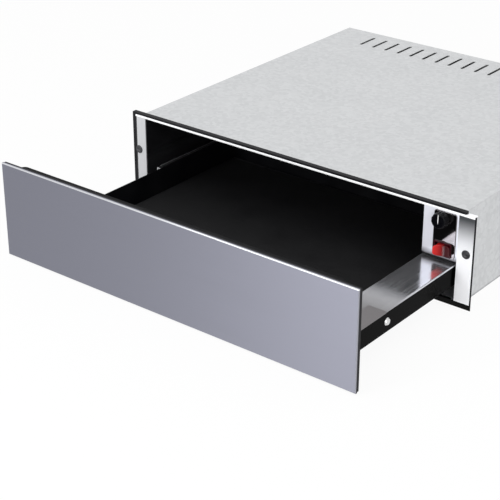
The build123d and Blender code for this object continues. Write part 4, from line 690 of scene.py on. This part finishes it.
floor_mix = add_node(floor_tree, "ShaderNodeMixShader", {
    0: combined(floor_tree, "MULTIPLY", floor_seen, FLOOR_GLOW), 1: floor_diffuse.outputs[0],
    2: floor_shine.outputs[0]})
add_node(floor_tree, "ShaderNodeOutputMaterial", {"Surface": floor_mix.outputs[0]})
floor_mesh.materials.append(floor_material)

world = bpy.data.worlds.new("surround")
bpy.context.scene.world = world
world.use_nodes = True
world_tree = world.node_tree
world_rays = add_node(world_tree, "ShaderNodeLightPath", {}).outputs
world_seen = combined(world_tree, "MAXIMUM", world_rays["Is Camera Ray"], world_rays["Is Glossy Ray"],
                      world_rays["Is Transmission Ray"])
world_level = add_node(world_tree, "ShaderNodeMapRange", {
    "Value": world_seen, "To Min": SURROUND_LIGHT, "To Max": 1.0})
backdrop = world_tree.nodes["Background"]
backdrop.inputs["Color"].default_value = WHITE
world_tree.links.new(world_level.outputs["Result"], backdrop.inputs["Strength"])

# ---- lamps and camera -------------------------------------------------------------------------------
# Four soft lamps: a large one above the front, one on the right and two before the drawer. The camera
# stands before its right corner and looks down on it.
DRAWER_MIDDLE = (0.1, -0.4, 0.1)


def standing(side, up, away, place):
    """Matrix of something at a place whose own axes point to its side, up and away behind it."""
    rows = [[side[i], up[i], away[i], place[i]] for i in range(3)]
    return Matrix(rows + [[0, 0, 0, 1]])


def soft_lamp(name, place, target, width, height, power):
    """Rectangular area lamp at a place, facing a target."""
    data = bpy.data.lights.new(name, "AREA")
    data.shape = "RECTANGLE"
    data.size, data.size_y, data.energy = width, height, power
    lamp = bpy.data.objects.new(name, data)
    bpy.context.scene.collection.objects.link(lamp)
    away = np.subtract(place, target)
    away /= np.linalg.norm(away)
    side = np.cross((0, 0, 1), away)
    side /= np.linalg.norm(side)
    lamp.matrix_world = standing(side, np.cross(away, side), away, place)


soft_lamp("overhead_lamp", (0.3, -1.2, 2.4), (0.0, -0.2, 0.1), width=2.2, height=1.6, power=16.0)
soft_lamp("side_lamp", (2.2, -1.6, 1.0), (0.2, -0.4, 0.1), width=1.2, height=1.4, power=6.0)
soft_lamp("front_lamp", (-0.62, -2.5, 0.75), DRAWER_MIDDLE, width=0.7, height=1.2, power=25.0)
soft_lamp("fill_lamp", (1.5, -2.6, 0.5), DRAWER_MIDDLE, width=1.6, height=1.2, power=16.0)

camera_data = bpy.data.cameras.new("camera")
camera_data.lens, camera_data.sensor_width, camera_data.clip_end = 104.4, 36.0, 100.0
camera = bpy.data.objects.new("camera", camera_data)
bpy.context.scene.collection.objects.link(camera)
yaw, pitch, eye = 0.67294, 0.46259, (1.11162, -1.75458, 0.92253)
ahead = np.array([-np.sin(yaw) * np.cos(pitch), np.cos(yaw) * np.cos(pitch), -np.sin(pitch)])
to_right = np.array([np.cos(yaw), np.sin(yaw), 0.0])
camera.matrix_world = standing(to_right, np.cross(to_right, ahead), -ahead, eye)
bpy.context.scene.camera = camera
bpy.context.scene.view_settings.view_transform = "Standard"
